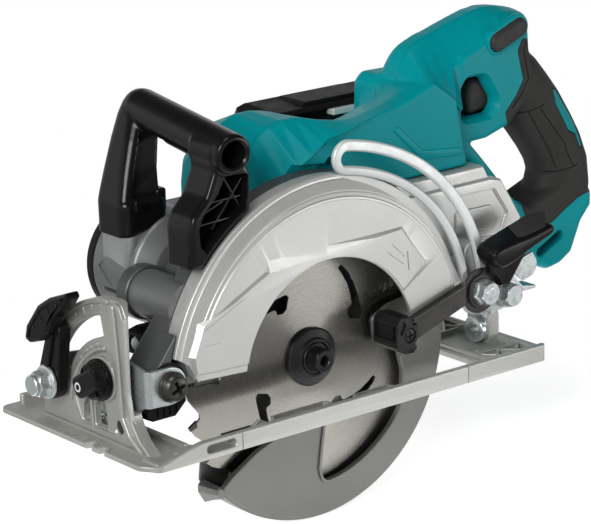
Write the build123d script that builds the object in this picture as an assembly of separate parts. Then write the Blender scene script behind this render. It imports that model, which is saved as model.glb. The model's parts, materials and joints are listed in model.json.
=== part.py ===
from build123d import *
import os
from math import sin, cos, tan, pi, radians, degrees, atan2, acos, sqrt, hypot

# ---------------------------------------------------------------------------
# Cordless rear-handle circular saw, blade on the operator's left.
# Frame: origin on the sole plane under the arbor, on the blade's mid-plane.
#   -X is the front of the saw (cutting direction), +X the rear handle,
#   -Y the blade side (left), +Y the motor and battery side, +Z up.
# Millimetres throughout.
# ---------------------------------------------------------------------------

# driving dimensions
ARB_Z = 26.0            # arbor axis height over the sole at full depth
BLADE_R = 95.0          # 190 mm blade
BLADE_T = 1.6           # blade body thickness
N_TEETH = 24
GUARD_R = 101.0         # lower guard outer radius
CASE_R = 115.5          # blade case outer radius
OPEN_R = 65.0           # round opening in the blade case face
BEV_Z = 13.5            # bevel axis height, along X at y = 0
PIV_X, PIV_Z = -117.0, 38.0   # depth pivot, along Y
B0X, B0Z = 122.0, 46.0        # depth clamp bolt at full depth
HX, HZ = 147.5, 38.0          # hinge of the depth guide on the rear bracket
GUIDE_K = -0.60               # guide swing per depth swing
DEPTH_MAX = 35.0              # depth swing, degrees
GY0, GY1 = -16.0, -12.5       # depth guide plate, y range
BX0, BX1 = -154.0, 155.0      # base plate, x range
BY0, BY1 = -47.4, 106.0       # base plate, y range
MX, MZ = -53.5, 78.5          # motor axis, along Y
LX, LZ = -26.8, 52.2          # layshaft axis, along Y
MOD = 1.25                    # gear module
Z_MOT, Z_LAY, Z_LP, Z_ARB = 15, 45, 34, 26
CL = 0.05                     # running clearance of a shaft in its hole


# ---------------------------------------------------------------------------
# helpers
# ---------------------------------------------------------------------------
def pxz(y):
    """Sketch plane with local (x, y) = (X, Z); extrusion runs towards -Y."""
    return Plane(origin=(0, y, 0), x_dir=(1, 0, 0), z_dir=(0, -1, 0))


def pyz(x):
    """Sketch plane with local (x, y) = (Y, Z); extrusion runs towards +X."""
    return Plane(origin=(x, 0, 0), x_dir=(0, 1, 0), z_dir=(1, 0, 0))


def poly(pts):
    return make_face(Polyline(*pts, close=True))


def spl(pts):
    return make_face(Spline(*pts, periodic=True))


def exz(sk, y0, y1):
    return extrude(pxz(y1) * sk, amount=y1 - y0)


def eyz(sk, x0, x1):
    return extrude(pyz(x0) * sk, amount=x1 - x0)


def exy(sk, z0, z1):
    return extrude(Plane.XY.offset(z0) * sk, amount=z1 - z0)


def cy(x, z, r, y0, y1):
    return exz(Pos(x, z) * Circle(r), y0, y1)


def cx(y, z, r, x0, x1):
    return eyz(Pos(y, z) * Circle(r), x0, x1)


def cz(x, y, r, z0, z1):
    return exy(Pos(x, y) * Circle(r), z0, z1)


def bx(x0, x1, y0, y1, z0, z1):
    return Pos((x0 + x1) / 2, (y0 + y1) / 2, (z0 + z1) / 2) * Box(x1 - x0, y1 - y0, z1 - z0)


def hexy(x, z, af, y0, y1, rot=0):
    return exz(Pos(x, z) * Rot(0, 0, rot) * RegularPolygon(af / 2, 6, major_radius=False), y0, y1)


def hexx(y, z, af, x0, x1, rot=0):
    return eyz(Pos(y, z) * Rot(0, 0, rot) * RegularPolygon(af / 2, 6, major_radius=False), x0, x1)


def rev(pts, x=0.0, z=ARB_Z):
    """Solid of revolution about the Y axis through (x, z), from (r, y) points."""
    pl = Plane(origin=(x, 0, z), x_dir=(1, 0, 0), z_dir=(0, 0, 1))
    return revolve(pl * poly(pts), Axis((x, 0, z), (0, 1, 0)), 360)


def hull2(c1, r1, c2, r2):
    """Face bounded by two circles and their outer tangents."""
    d = hypot(c2[0] - c1[0], c2[1] - c1[1])
    ph = atan2(c2[1] - c1[1], c2[0] - c1[0])
    al = acos((r1 - r2) / d)
    P = lambda c, r, a: (c[0] + r * cos(a), c[1] + r * sin(a))
    a1, b1 = P(c1, r1, ph + al), P(c1, r1, ph - al)
    a2, b2 = P(c2, r2, ph + al), P(c2, r2, ph - al)
    m1, m2 = P(c1, r1, ph + pi), P(c2, r2, ph)
    w = [ThreePointArc(a1, m1, b1), Line(b1, b2), ThreePointArc(b2, m2, a2), Line(a2, a1)]
    return make_face(Wire(w))


def soften(part, edges, r):
    """Round edges, falling back to smaller radii."""
    for k in (1.0, 0.7, 0.45, 0.25):
        try:
            out = fillet(edges, r * k)
            if out.is_valid and out.volume > 0:
                return out
        except Exception:
            pass
    return part


def gear_face(z, m, phase, thin=0.12):
    """Involute spur gear outline about the origin; a tooth is centred at phase (rad)."""
    rp, ra, rf = m * z / 2, m * z / 2 + 0.92 * m, m * z / 2 - 1.25 * m
    rb = rp * cos(radians(20))
    half = pi / (2 * z) - thin / rp
    inv = lambda r: tan(acos(min(1, rb / r))) - acos(min(1, rb / r)) if r > rb else 0.0
    inv_p = inv(rp)
    pts = []
    for i in range(z):
        c = phase + 2 * pi * i / z
        rs = [max(rb, rf) + (ra - max(rb, rf)) * k / 4 for k in range(5)]
        left = [(r, c - (half + inv_p - inv(r))) for r in rs]
        right = [(r, c + (half + inv_p - inv(r))) for r in reversed(rs)]
        if rf < rb:
            left = [(rf, left[0][1])] + left
            right = right + [(rf, right[-1][1])]
        pts += left + right
    return poly([(r * cos(a), r * sin(a)) for r, a in pts])


def gear(x, z, teeth, phase, y0, y1, bore=0.0):
    g = exz(Pos(x, z) * gear_face(teeth, MOD, phase), y0, y1)
    if bore:
        g -= cy(x, z, bore, y0 - 1, y1 + 1)
    return g


def one(p):
    """Largest solid of a boolean result."""
    s = p.solids()
    return Part(max(s, key=lambda q: q.volume).wrapped) if len(s) > 1 else p


NODES = {}


def rot_about(px, pz, cxx, czz, ang):
    """Rotate a point of the XZ plane; positive lifts the rear."""
    a = radians(ang)
    dx, dz = px - cxx, pz - czz
    return cxx + dx * cos(a) - dz * sin(a), czz + dx * sin(a) + dz * cos(a)


# ---------------------------------------------------------------------------
# base plate with left rail, blade slot, rear pivot lug
# ---------------------------------------------------------------------------
base = exy(poly([(BX0, BY1), (BX0, -36), (-146, BY0), (BX1 - 4, BY0), (BX1, -43), (BX1, BY1 - 6), (BX1 - 6, BY1)]), 0, 3.2)
# left rail with its outer wall and the low floor inboard
base += bx(-143, BX1 - 1, BY0, -43.4, 0, 11)
base += exy(poly([(-150.5, -36), (-143, BY0), (-143, -43.4), (-146.5, -36)]), 0, 9)
base += bx(-148, 110, -43.5, -29.5, 0, 4.4)
# right edge rim and rear stiffening ribs
base += bx(BX0 + 14, BX1 - 8, BY1 - 4, BY1, 0, 8)
base += bx(112, BX1 - 1, BY0 + 3, BY1 - 2, 0, 4.6)
# blade slot
slot = exy(poly([(-108, -29.5), (108, -29.5), (112, -25), (112, 45), (104, 50), (-104, 50), (-112, 45), (-112, -25)]), -1, 30)
base -= slot
# inner rib along the rail, relieved under the arbor
base -= exy(poly([(34, -29), (41, -37.2), (109, -37.2), (112, -34), (112, -29)]), -1, 30)
rib = bx(-108, -12, -34.4, -31.6, 4, 9.4) + bx(9, 37, -34.4, -31.6, 4, 9.4) + bx(36, 110, -39.6, -37.2, 0, 7.0)
base += rib
for xr in (-84, -46, -22, 26):
    base += bx(xr - 1.2, xr + 1.2, -43.6, -34.2, 4, 8.2)
for xr in (52, 80):
    base += bx(xr - 1.2, xr + 1.2, -43.6, -39.4, 4, 6.8)
# rear deck ribs
for yr in (-36, -24, 24, 44, 64, 84):
    base += bx(114, 152, yr - 1.3, yr + 1.3, 4, 8.0)
base += bx(114, 117, -43.5, 100, 4, 7.6)
base += bx(150, 153.5, -43.5, 100, 4, 8.4)
# front deck rib behind the quadrant and side rim
base += bx(-116.5, -113.5, -29.5, 100, 3, 5.4)
base += bx(-112, 112, 52, 55, 3, 7)
# guide-rule slot through the rail and the locking screw boss
base -= bx(-113.5, -92.5, BY0 - 1, -28, 3.4, 8.4)
# upright lug for the rear bevel pivot
lug = eyz(hull2((0, BEV_Z), 12.0, (0, 3.0), 15.0), 141.0, 150.0) & bx(130, 160, -6.8, 30, 1, 40)
base += lug
base -= cx(0, BEV_Z, 5.0 + CL, 130, 160)
# sight notches on the front edge for the square and the bevel cut
base -= bx(BX0 - 1, BX0 + 5, -2.6, 2.6, -1, 4)
base -= bx(BX0 - 1, BX0 + 5, 9.9, 15.1, -1, 4)
# seat of the bevel quadrant and of its foot
base += bx(-142.5, -133.5, -34, 78, 0, 4.6)
base += bx(-133.6, -122.5, 28, 66, 0, 4.6)
for ry in (37, 57):
    base -= cz(-128.5, ry, 2.6, -1, 10)
base = one(base)
NODES["base_plate"] = base

# ---------------------------------------------------------------------------
# bevel quadrant at the front: plate in the YZ plane with the arc slot
# ---------------------------------------------------------------------------
QX0, QX1 = -141.0, -135.0


def arc_pts(r, a0, a1, n, c=(0.0, BEV_Z)):
    return [(c[0] + r * cos(radians(a0 + (a1 - a0) * i / n)), c[1] + r * sin(radians(a0 + (a1 - a0) * i / n))) for i in range(n + 1)]


q_out = make_face(Wire([
    Line((-33.0, 4.6), (76.5, 4.6)),
    Line((76.5, 4.6), (76.5, BEV_Z)),
    ThreePointArc((76.5, BEV_Z), arc_pts(76.5, 0, 88, 2)[1], arc_pts(76.5, 0, 88, 2)[2]),
    Line(arc_pts(76.5, 0, 88, 2)[2], (-7.0, 89.6)),
    Line((-7.0, 89.6), (-12.5, 87.0)),
    Line((-12.5, 87.0), (-15.5, 81.0)),
    Line((-15.5, 81.0), (-15.5, 34.0)),
    Line((-15.5, 34.0), (-18.5, 20.0)),
    Line((-18.5, 20.0), (-25.0, 10.0)),
    Line((-25.0, 10.0), (-33.0, 4.6)),
]))
quad = eyz(q_out, QX0, QX1)
# arc slot of the clamp bolt, radius 53.2 to 66 about the bevel axis
s_in, s_out = arc_pts(53.2, 9, 77, 2), arc_pts(66.0, 9, 78, 2)
q_slot = make_face(Wire([
    Line(s_in[0], s_out[0]),
    ThreePointArc(*s_out),
    Line(s_out[2], s_in[2]),
    ThreePointArc(*reversed(s_in)),
]))
quad -= eyz(q_slot, QX0 - 1, QX1 + 1)
# raised rims along both arcs and the double ridge of the post
band = make_face(Wire([ThreePointArc(*arc_pts(76.5, 2, 82, 2)), Line(arc_pts(76.5, 2, 82, 2)[2], arc_pts(73.5, 2, 82, 2)[2]),
                       ThreePointArc(*reversed(arc_pts(73.5, 2, 82, 2))), Line(arc_pts(73.5, 2, 82, 2)[0], arc_pts(76.5, 2, 82, 2)[0])]))
quad += eyz(band, QX0 - 2.0, QX0 + 0.5)
band2 = make_face(Wire([ThreePointArc(*arc_pts(48.6, 10, 76, 2)), Line(arc_pts(48.6, 10, 76, 2)[2], arc_pts(45.8, 10, 76, 2)[2]),
                        ThreePointArc(*reversed(arc_pts(45.8, 10, 76, 2))), Line(arc_pts(45.8, 10, 76, 2)[0], arc_pts(48.6, 10, 76, 2)[0])]))
quad += eyz(band2, QX0 - 2.0, QX0 + 0.5)
quad += eyz(poly([(-15.2, 34.0), (-11.4, 34.0), (-11.4, 85.0), (-15.2, 81.0)]), QX0 - 2.5, QX0 + 0.5)
quad += eyz(poly([(-9.4, 22.0), (-5.4, 22.0), (0.5, 88.5), (-4.5, 88.5)]), QX0 - 2.5, QX0 + 0.5)
# two arched windows under the dial
for y0 in (14.0, 27.5):
    w = poly([(y0, 9.5), (y0 + 10, 9.5), (y0 + 10, 22), (y0 + 7.5, 26), (y0 + 2.5, 26), (y0, 22)])
    quad -= eyz(w, QX0 - 4, QX1 + 1)
# bores: bevel pivot, dial spindle
quad -= cx(0, BEV_Z, 4.0 + CL, QX0 - 4, QX1 + 1)
DIAL_Y, DIAL_Z = 14.0, 40.0
quad += cx(DIAL_Y, DIAL_Z, 13.5, QX0 - 1.2, QX0 + 0.5)
quad -= cx(DIAL_Y, DIAL_Z, 4.0 + CL, QX0 - 4, QX1 + 1)
quad = one(quad)
NODES["bevel_quadrant"] = quad

# foot flange held to the base by two rivets
foot = bx(-134.8, -124, 30, 64, 4.6, 7.4) + bx(-135.2, -132.0, 30, 64, 4.6, 12)
foot -= cz(-128.5, 37, 2.6, 0, 20)
foot -= cz(-128.5, 57, 2.6, 0, 20)
NODES["bevel_quadrant"] = one(quad + foot)
riv = []
for ry in (37, 57):
    rv = cz(-128.5, ry, 2.55, 0.8, 7.6)
    rv += Pos(-128.5, ry, 7.45) * (Sphere(3.4) & Pos(0, 0, 2.5) * Box(20, 20, 5.0)) & bx(-140, -110, 0, 90, 7.0, 9.4)
    riv.append(rv)
NODES["quadrant_rivets"] = Compound(children=riv)

# stop dial: round knob with a pointer bar, spindle through the quadrant
dial = cx(DIAL_Y, DIAL_Z, 4.0, QX0 - 3, QX1 + 1.0)
dial += cx(DIAL_Y, DIAL_Z, 6.5, QX1 + 0.15, QX1 + 1.1)
dial += cx(DIAL_Y, DIAL_Z, 12.5, QX0 - 5.0, QX0 - 1.6)
dial += cx(DIAL_Y, DIAL_Z, 10.8, QX0 - 9.5, QX0 - 4.5)
bar_ = eyz(Pos(DIAL_Y, DIAL_Z) * Rot(0, 0, -32) * SlotOverall(26, 10.5), QX0 - 13.5, QX0 - 3.0)
dial += bar_
dial = one(dial)
NODES["stop_dial"] = dial

# ---------------------------------------------------------------------------
# bevel frame: front and rear zinc brackets, pivot pins, clamp bolt
# ---------------------------------------------------------------------------
BOLT_Y, BOLT_Z = 55.5, 30.5      # bevel clamp bolt
fb_leg = exz(hull2((PIV_X, PIV_Z), 11.2, (-133.0, PIV_Z + 0.3), 11.3), -19.2, -16.2) & bx(-133.6, -90, -30, 0, 0, 80)
yz_face = poly([(-19.2, 27.2), (-7, 22.0), (-5, 6.6), (5, 6.6), (20, 14), (46, 18), (66, 20), (68, 38), (60, 44), (34, 52), (10, 54), (-6, 51), (-19.2, 49.6)])
fb = fb_leg + eyz(yz_face, -133.6, -130.8)
fb -= cx(0, BEV_Z, 4.0 + 0.02, -150, -120)
fb -= cx(BOLT_Y, BOLT_Z, 4.0 + 0.02, -150, -120)
fb -= cy(PIV_X, PIV_Z, 5.0 + 0.02, -40, 0)
NODES["front_bracket"] = one(fb)

rb_yz = eyz(hull2((0, BEV_Z), 8.4, (0, 44.0), 11.5), 137.6, 140.6) & bx(130, 145, -12.0, 11.5, 0, 60)
rb_xz = exz(poly([(137.6, 25.0), (150, 27.0), (157, 31), (163, 34.5), (178, 34.5), (178, 36.5), (166, 38.5), (158, 47), (150, 51.0), (137.6, 53.0)]), -12.0, -9.4)
rb = rb_yz + rb_xz + bx(160, 178, -12.0, 2.0, 34.5, 36.5)
rb -= cx(0, BEV_Z, 5.0 + 0.02, 130, 145)
rb -= cy(HX, HZ, 4.0 + 0.02, -30, 0)
NODES["rear_bracket"] = one(rb)

pin_f = cx(0, BEV_Z, 4.0, -139.0, -129.8) + cx(0, BEV_Z, 7.0, -130.7, -128.0)
pin_r = cx(0, BEV_Z, 5.0, 131.0, 151.5) + cx(0, BEV_Z, 8.6, 129.0, 137.5)
NODES["front_pivot_pin"] = pin_f
NODES["rear_pivot_bolt"] = pin_r

bolt = cx(BOLT_Y, BOLT_Z, 4.0, -160.0, -129.0) + hexx(BOLT_Y, BOLT_Z, 13.0, -130.7, -126.0)
bolt += cx(BOLT_Y, BOLT_Z, 7.3, -143.4, -141.3) - cx(BOLT_Y, BOLT_Z, 3.9, -144, -141)
NODES["bevel_clamp_bolt"] = one(bolt)

scr = cy(PIV_X, PIV_Z, 5.0, -22.0, -4.0) + cy(PIV_X, PIV_Z, 9.2, -21.6, -19.3)
scr += rev([(0, -27.0), (5.6, -26.6), (7.6, -25.0), (8.2, -21.5), (0, -21.5)], PIV_X, PIV_Z)
for k in range(2):
    scr -= Pos(PIV_X, -26.6, PIV_Z) * Rot(0, 20 + 90 * k, 0) * Box(8.4, 4.4, 1.9)
NODES["depth_pivot_screw"] = one(scr)

hp = cy(HX, HZ, 4.0, -17.0, -5.0) + cy(HX, HZ, 8.8, -18.2, -16.3) + hexy(HX, HZ, 13.0, -24.6, -18.1, 12) + hexy(HX, HZ, 11.0, -9.3, -4.0, 12)
NODES["guide_hinge_bolt"] = one(hp)

# bevel lever on the clamp bolt, with its flange nut
lev = eyz(hull2((BOLT_Y, BOLT_Z), 11.0, (47.0, 62.0), 6.5), -151.5, -144.0)
lev += eyz(hull2((64.0, 59.0), 6.5, (30.0, 86.0), 8.0), -158.0, -144.5)
lev -= cx(BOLT_Y, BOLT_Z, 6.5 + 0.02, -170, -140)
lev = soften(lev, lev.edges().filter_by(Axis.X, reverse=True).group_by(Axis.X)[0], 2.0)
NODES["bevel_lever"] = one(lev)
nut = cx(BOLT_Y, BOLT_Z, 6.5, -152.0, -144.0) + cx(BOLT_Y, BOLT_Z, 9.0, -153.6, -151.6) + hexx(BOLT_Y, BOLT_Z, 13.0, -160.5, -153.4, 8)
nut += cx(BOLT_Y, BOLT_Z, 5.2, -163.6, -160.3)
nut -= cx(BOLT_Y, BOLT_Z, 4.0 + CL, -161.0, -140)
NODES["bevel_nut"] = one(nut)

# ---------------------------------------------------------------------------
# depth guide: curved slotted bar; its slot is the clamp bolt's path as the
# saw swings about the depth pivot while the guide leans about its own hinge
# ---------------------------------------------------------------------------
def guide_pt(th):
    p = rot_about(B0X, B0Z, PIV_X, PIV_Z, th)
    return rot_about(p[0], p[1], HX, HZ, -GUIDE_K * th)


path = [guide_pt(-1.5 + (DEPTH_MAX + 3.0) * i / 14) for i in range(15)]
nrm = []
for i in range(15):
    a, b = path[max(0, i - 1)], path[min(14, i + 1)]
    L = hypot(b[0] - a[0], b[1] - a[1])
    nrm.append((-(b[1] - a[1]) / L, (b[0] - a[0]) / L))


def strip(w):
    """Face of half width w along the slot path with round ends."""
    inn = [(p[0] + n[0] * w, p[1] + n[1] * w) for p, n in zip(path, nrm)]
    out = [(p[0] - n[0] * w, p[1] - n[1] * w) for p, n in zip(path, nrm)]
    t1 = (nrm[14][1], -nrm[14][0])
    t0 = (-nrm[0][1], nrm[0][0])
    e1 = (path[14][0] + t1[0] * w, path[14][1] + t1[1] * w)
    e0 = (path[0][0] + t0[0] * w, path[0][1] + t0[1] * w)
    return make_face(Wire([Spline(*inn), ThreePointArc(inn[-1], e1, out[-1]), Spline(*reversed(out)), ThreePointArc(out[0], e0, inn[0])]))


guide = exz(strip(10.0), GY0, GY1)
guide += exz(hull2((HX, HZ), 9.0, (path[0][0], path[0][1]), 10.0), GY0, GY1)
guide -= exz(strip(4.6), GY0 - 1, GY1 + 1)
guide -= cy(HX, HZ, 4.0 + CL, GY0 - 1, GY1 + 1)
NODES["depth_guide"] = one(guide)

# depth clamp: bolt carried by the rear frame, collar, lever and cap
NODES["depth_clamp_bolt"] = cy(B0X, B0Z, 4.0, -31.0, 4.0) + hexy(B0X, B0Z, 13.0, 2.6, 7.0)
arm = cy(B0X, B0Z, 11.0, -20.6, -16.4) + exz(hull2((B0X, B0Z), 9.5, (141.0, 59.0), 8.5), -22.0, -18.6)
arm += hexy(B0X, B0Z, 13.0, -29.0, -20.4, 10) + cy(B0X, B0Z, 8.2, -23.4, -20.4)
arm -= cy(B0X, B0Z, 4.0 + CL, -40, 0)
NODES["depth_lever_arm"] = one(arm)
cap = exz(spl([(118, 72), (121, 90), (132, 97.5), (152, 95.5), (171, 86), (181, 77.5), (179.5, 69.5), (166, 63.5), (148, 58.5), (134, 56.5), (123, 60)]), -35.0, -18.0)
cap -= exz(hull2((B0X, B0Z), 10.0, (141.0, 59.0), 9.0), -22.4, -17.5)
cap -= cy(B0X, B0Z, 12.0, -40, -10)
cap -= exz(poly([(139, 56), (139, 60), (166, 66.5), (172, 60), (168, 42), (155, 42)]), -22.3, -17.5)
cap = soften(cap, cap.edges().group_by(Axis.Y)[0], 4.0)
NODES["depth_lever_cap"] = one(cap)
lplate = exz(make_face(Wire([Line((141.5, 57.5), (165.0, 63.0)), ThreePointArc((165.0, 63.0), (167.5, 50.0), (157.0, 45.5)), Line((157.0, 45.5), (141.5, 57.5))])), -22.0, -20.0)
NODES["depth_lever_arm"] = one(NODES["depth_lever_arm"] + lplate)

# ---------------------------------------------------------------------------
# blade case (upper guard): light metal drum open below, round opening in face
# ---------------------------------------------------------------------------
drum = rev([(OPEN_R, -23.0), (99.0, -23.0), (103.5, -22.0), (111.0, -18.8), (CASE_R, -17.8), (CASE_R, -14.6),
            (113.2, -13.6), (113.2, -4.0), (102.0, -4.0), (102.0, -18.6), (100.0, -20.6), (OPEN_R, -20.6)])
keep = poly([(-140, 48.0), (-104.5, 48.0), (-100.5, 38.0), (-62, 36.0), (-30, 30), (30, 30), (62, 45.0), (101.0, 52.5), (140, 53.5), (140, 170), (-140, 170)])
case = drum & exz(keep, -30, 20)
# room for the pivot ear and for the leaning depth guide
case -= cy(PIV_X, PIV_Z, 15.3, -30, -3)
case -= exz(hull2((PIV_X, PIV_Z), 12.4, (-92.0, 62.0), 16.8), -16.6, -3) & bx(-140, -60, -40, 0, 0, 48.3)
env = [(88, 116.6), (83, 112.0), (73, 109.3), (64, 107.0), (55, 105.3), (45, 104.6), (34, 105.1), (24, 107.2), (13, 111.0), (4, 113.0), (-8, 116.6)]
env_pts = [(r * cos(radians(a)), ARB_Z + r * sin(radians(a))) for a, r in env]
pocket = exz(make_face(Wire([Spline(*env_pts), Line(env_pts[-1], (170, 0)), Line((170, 0), (170, 170)), Line((170, 170), (20, 180)), Line((20, 180), env_pts[0])])), -26.0, -11.8)
case -= pocket
# chevron panel and direction arrow raised on the face
ch = poly([(-44, 104), (66, 104.5), (82, 78), (75, 73), (63, 94), (-38, 94)])
case += exz(ch, -23.5, -22.9) & rev([(OPEN_R + 4, -24), (98, -24), (98, -20), (OPEN_R + 4, -20)])
arrow = poly([(52, 84.5), (60, 92), (61, 86.5), (68, 79.5), (66, 77.5), (59.5, 84), (54, 84)])
case += exz(arrow, -23.9, -23.0)
# lower lip along the front of the face, with its slot for the guard's stop
case += exz(poly([(-99.5, 38.5), (-63, 36.4), (-64.5, 41.5), (-98, 43.5)]), -23.8, -22.9)
NODES["upper_guard"] = one(case)

# ---------------------------------------------------------------------------
# gear housing: dark cast back shell of the drum with the two-stage gear case
# ---------------------------------------------------------------------------
BW0, BW1 = 9.6, 12.2            # back wall of the drum
GH1 = 46.0                      # motor-side face of the gear case
back = rev([(CASE_R - 2.5, -4.0), (CASE_R - 2.5, BW1 - 2.0), (CASE_R - 4.5, BW1), (27.0, BW1), (27.0, BW0), (104.0, BW0), (104.0, -4.0)])
back = back & exz(poly([(-140, 50.0), (-100, 46.0), (-70, 40.0), (-36, 14.0), (-24, 6), (24, 6), (40, 30), (70, 46.0), (140, 54.0), (140, 170), (-140, 170)]), -30, 60)
gc = exz(hull2((0, ARB_Z), 22.5, (LX, LZ), 34.5), BW1 - 0.1, GH1) + exz(hull2((LX, LZ), 34.5, (MX, MZ), 20.0), BW1 - 0.1, GH1)
cav = exz(hull2((0, ARB_Z), 18.5, (LX, LZ), 31.0), 15.0, 42.0)
cav += cy(MX, MZ, 12.0, 15.0, 42.0)
gh = back + gc - cav
# spigot that carries the lower guard's hub, arbor and layshaft seats
gh += rev([(13.0, 6.6), (24.0, 6.6), (24.0, 12.5), (13.0, 12.5)])
gh -= cy(0, ARB_Z, 13.0, 5, 15.1)
gh -= cy(0, ARB_Z, 11.0, 41.9, 45.0)
gh -= cy(LX, LZ, 8.0, 12.4, 15.1) + cy(LX, LZ, 8.0, 41.9, 45.0)
gh -= cy(MX, MZ, 9.5, 41.0, GH1 + 1)
# front ear for the depth pivot, reaching forward under the drum
ear = exz(hull2((PIV_X, PIV_Z), 11.6, (-92.0, 62.0), 16.0), -15.6, BW1) - rev([(0, -30), (104.0, -30), (104.0, BW0), (0, BW0)])
ear -= rev([(0, -30), (116.5, -30), (116.5, -3.9), (0, -3.9)]) & bx(-140, -60, -40, 0, 47.9, 140)
gh += ear
gh -= cy(PIV_X, PIV_Z, 5.0 + CL, -20, 20)
# bore of the shaft-lock button
SLX, SLZ = 7.5, 39.5
gh -= cy(SLX, SLZ, 4.0 + CL, 41.5, 47.5)
gh = one(gh)
NODES["gear_housing"] = gh
# dark washer between the zinc bracket and the ear
NODES["pivot_washer"] = cy(PIV_X, PIV_Z, 13.2, -16.0, -15.7) - cy(PIV_X, PIV_Z, 5.0 + CL, -20, 0)

# bearings
def ring(x, z, ro, ri, y0, y1):
    return cy(x, z, ro, y0, y1) - cy(x, z, ri, y0 - 1, y1 + 1)


NODES["arbor_bearings"] = Compound(children=[ring(0, ARB_Z, 12.98, 6.0 + CL, 8.0, 15.0), ring(0, ARB_Z, 10.98, 6.0 + CL, 42.0, 45.0)])
NODES["gear_train_bearings"] = Compound(children=[ring(LX, LZ, 7.98, 4.0 + CL, 12.5, 15.0), ring(LX, LZ, 7.98, 4.0 + CL, 42.0, 45.0),
                                                  ring(MX, MZ, 9.48, 4.0 + CL, 42.2, 46.0), ring(MX, MZ, 9.48, 4.0 + CL, 96.2, 100.0)])

# ---------------------------------------------------------------------------
# arbor: shaft, gear, flanges, blade, bolt
# ---------------------------------------------------------------------------
shaft = cy(0, ARB_Z, 6.0, -0.7, 44.8) - cy(0, ARB_Z, 3.0 + CL, -2, 18.0)
NODES["arbor_shaft"] = shaft
GP = degrees(atan2(LZ - ARB_Z, LX))          # direction arbor to layshaft
ph_arb = radians(GP)                          # tooth towards the layshaft
ph_lp = radians(GP) + pi + pi / Z_LP          # gap towards the arbor
NODES["arbor_gear"] = gear(0, ARB_Z, Z_ARB, ph_arb, 18.0, 27.5, 6.02)
NODES["inner_flange"] = rev([(6.05, 0.85), (18.0, 0.85), (18.0, 2.4), (12.0, 4.6), (12.0, 6.2), (6.05, 6.2)])
NODES["outer_flange"] = rev([(3.1, -0.85), (18.0, -0.85), (18.0, -2.2), (15.5, -3.8), (11.5, -6.0), (3.1, -6.0)])
bb_ = rev([(0, 17.5), (3.0, 17.5), (3.0, -6.0), (9.6, -6.1), (9.6, -7.6), (0, -7.6)]) + hexy(0, ARB_Z, 13.0, -15.6, -7.5, 15)
bb_ -= hexy(0, ARB_Z, 5.0, -17, -11.0, 15)
NODES["blade_bolt"] = bb_
# blade with hooked teeth, keyhole and expansion slots
tp = []
for i in range(N_TEETH):
    a = 2 * pi * i / N_TEETH
    st = 2 * pi / N_TEETH
    for r, f in ((BLADE_R, 0.0), (BLADE_R - 1.6, 0.26), (BLADE_R - 6.5, 0.62), (BLADE_R - 9.5, 0.80), (BLADE_R - 8.6, 0.93), (BLADE_R - 2.0, 0.985)):
        tp.append((r * cos(a + st * f), r * sin(a + st * f)))
blade = exz(Pos(0, ARB_Z) * poly(tp), -BLADE_T / 2, BLADE_T / 2)
blade -= cy(0, ARB_Z, 6.05, -5, 5)
for i in range(4):
    a = 35 + 90 * i
    sl = Rot(0, 0, a) * (Pos(81, 0) * Rectangle(14, 1.4) + Pos(73.5, 0) * Circle(2.4))
    blade -= exz(Pos(0, ARB_Z) * sl, -5, 5)
    jj = Rot(0, 0, a + 42) * make_face(Wire([ThreePointArc((44, -9.5), (47.5, 0), (44, 9.5)), Line((44, 9.5), (39, 13.5)), Line((39, 13.5), (38, 12.2)),
                                             Line((38, 12.2), (42.4, 8.6)), ThreePointArc((42.4, 8.6), (45.4, 0), (42.4, -8.8)), Line((42.4, -8.8), (44, -9.5))]))
    blade -= exz(Pos(0, ARB_Z) * jj, -5, 5)
NODES["saw_blade"] = one(blade)

# ---------------------------------------------------------------------------
# layshaft and motor
# ---------------------------------------------------------------------------
GQ = atan2(MZ - LZ, MX - LX)
NODES["layshaft"] = one(cy(LX, LZ, 4.0, 12.7, 44.8) + gear(LX, LZ, Z_LP, ph_lp, 18.0, 27.4) + gear(LX, LZ, Z_LAY, GQ, 29.4, 38.0))
NODES["rotor_shaft"] = one(cy(MX, MZ, 4.0, 29.0, 99.8) + gear(MX, MZ, Z_MOT, GQ + pi + pi / Z_MOT, 29.2, 38.2))
NODES["rotor_core"] = cy(MX, MZ, 15.5, 54.0, 83.5) - cy(MX, MZ, 4.02, 50, 100)
fan = cy(MX, MZ, 29.0, 85.6, 87.2) + cy(MX, MZ, 7.0, 85.6, 92.5)
for i in range(11):
    a = 360 * i / 11
    fan += exz(Pos(MX, MZ) * Rot(0, 0, a) * Pos(19.5, 2) * Rot(0, 0, 24) * Rectangle(17, 1.6), 87.0, 93.0)
fan -= cy(MX, MZ, 4.02, 80, 120)
NODES["cooling_fan"] = one(fan)
st = cy(MX, MZ, 32.0, 54.5, 83.0) - cy(MX, MZ, 16.2, 50, 100)
for i in range(6):
    a = 60 * i
    st -= exz(Pos(MX, MZ) * Rot(0, 0, a + 30) * Pos(22.5, 0) * Rectangle(9, 7), 50, 100)
NODES["stator"] = one(st)

MR = 36.5
mh = cy(MX, MZ, MR, GH1 + 0.1, 94.0)
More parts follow.
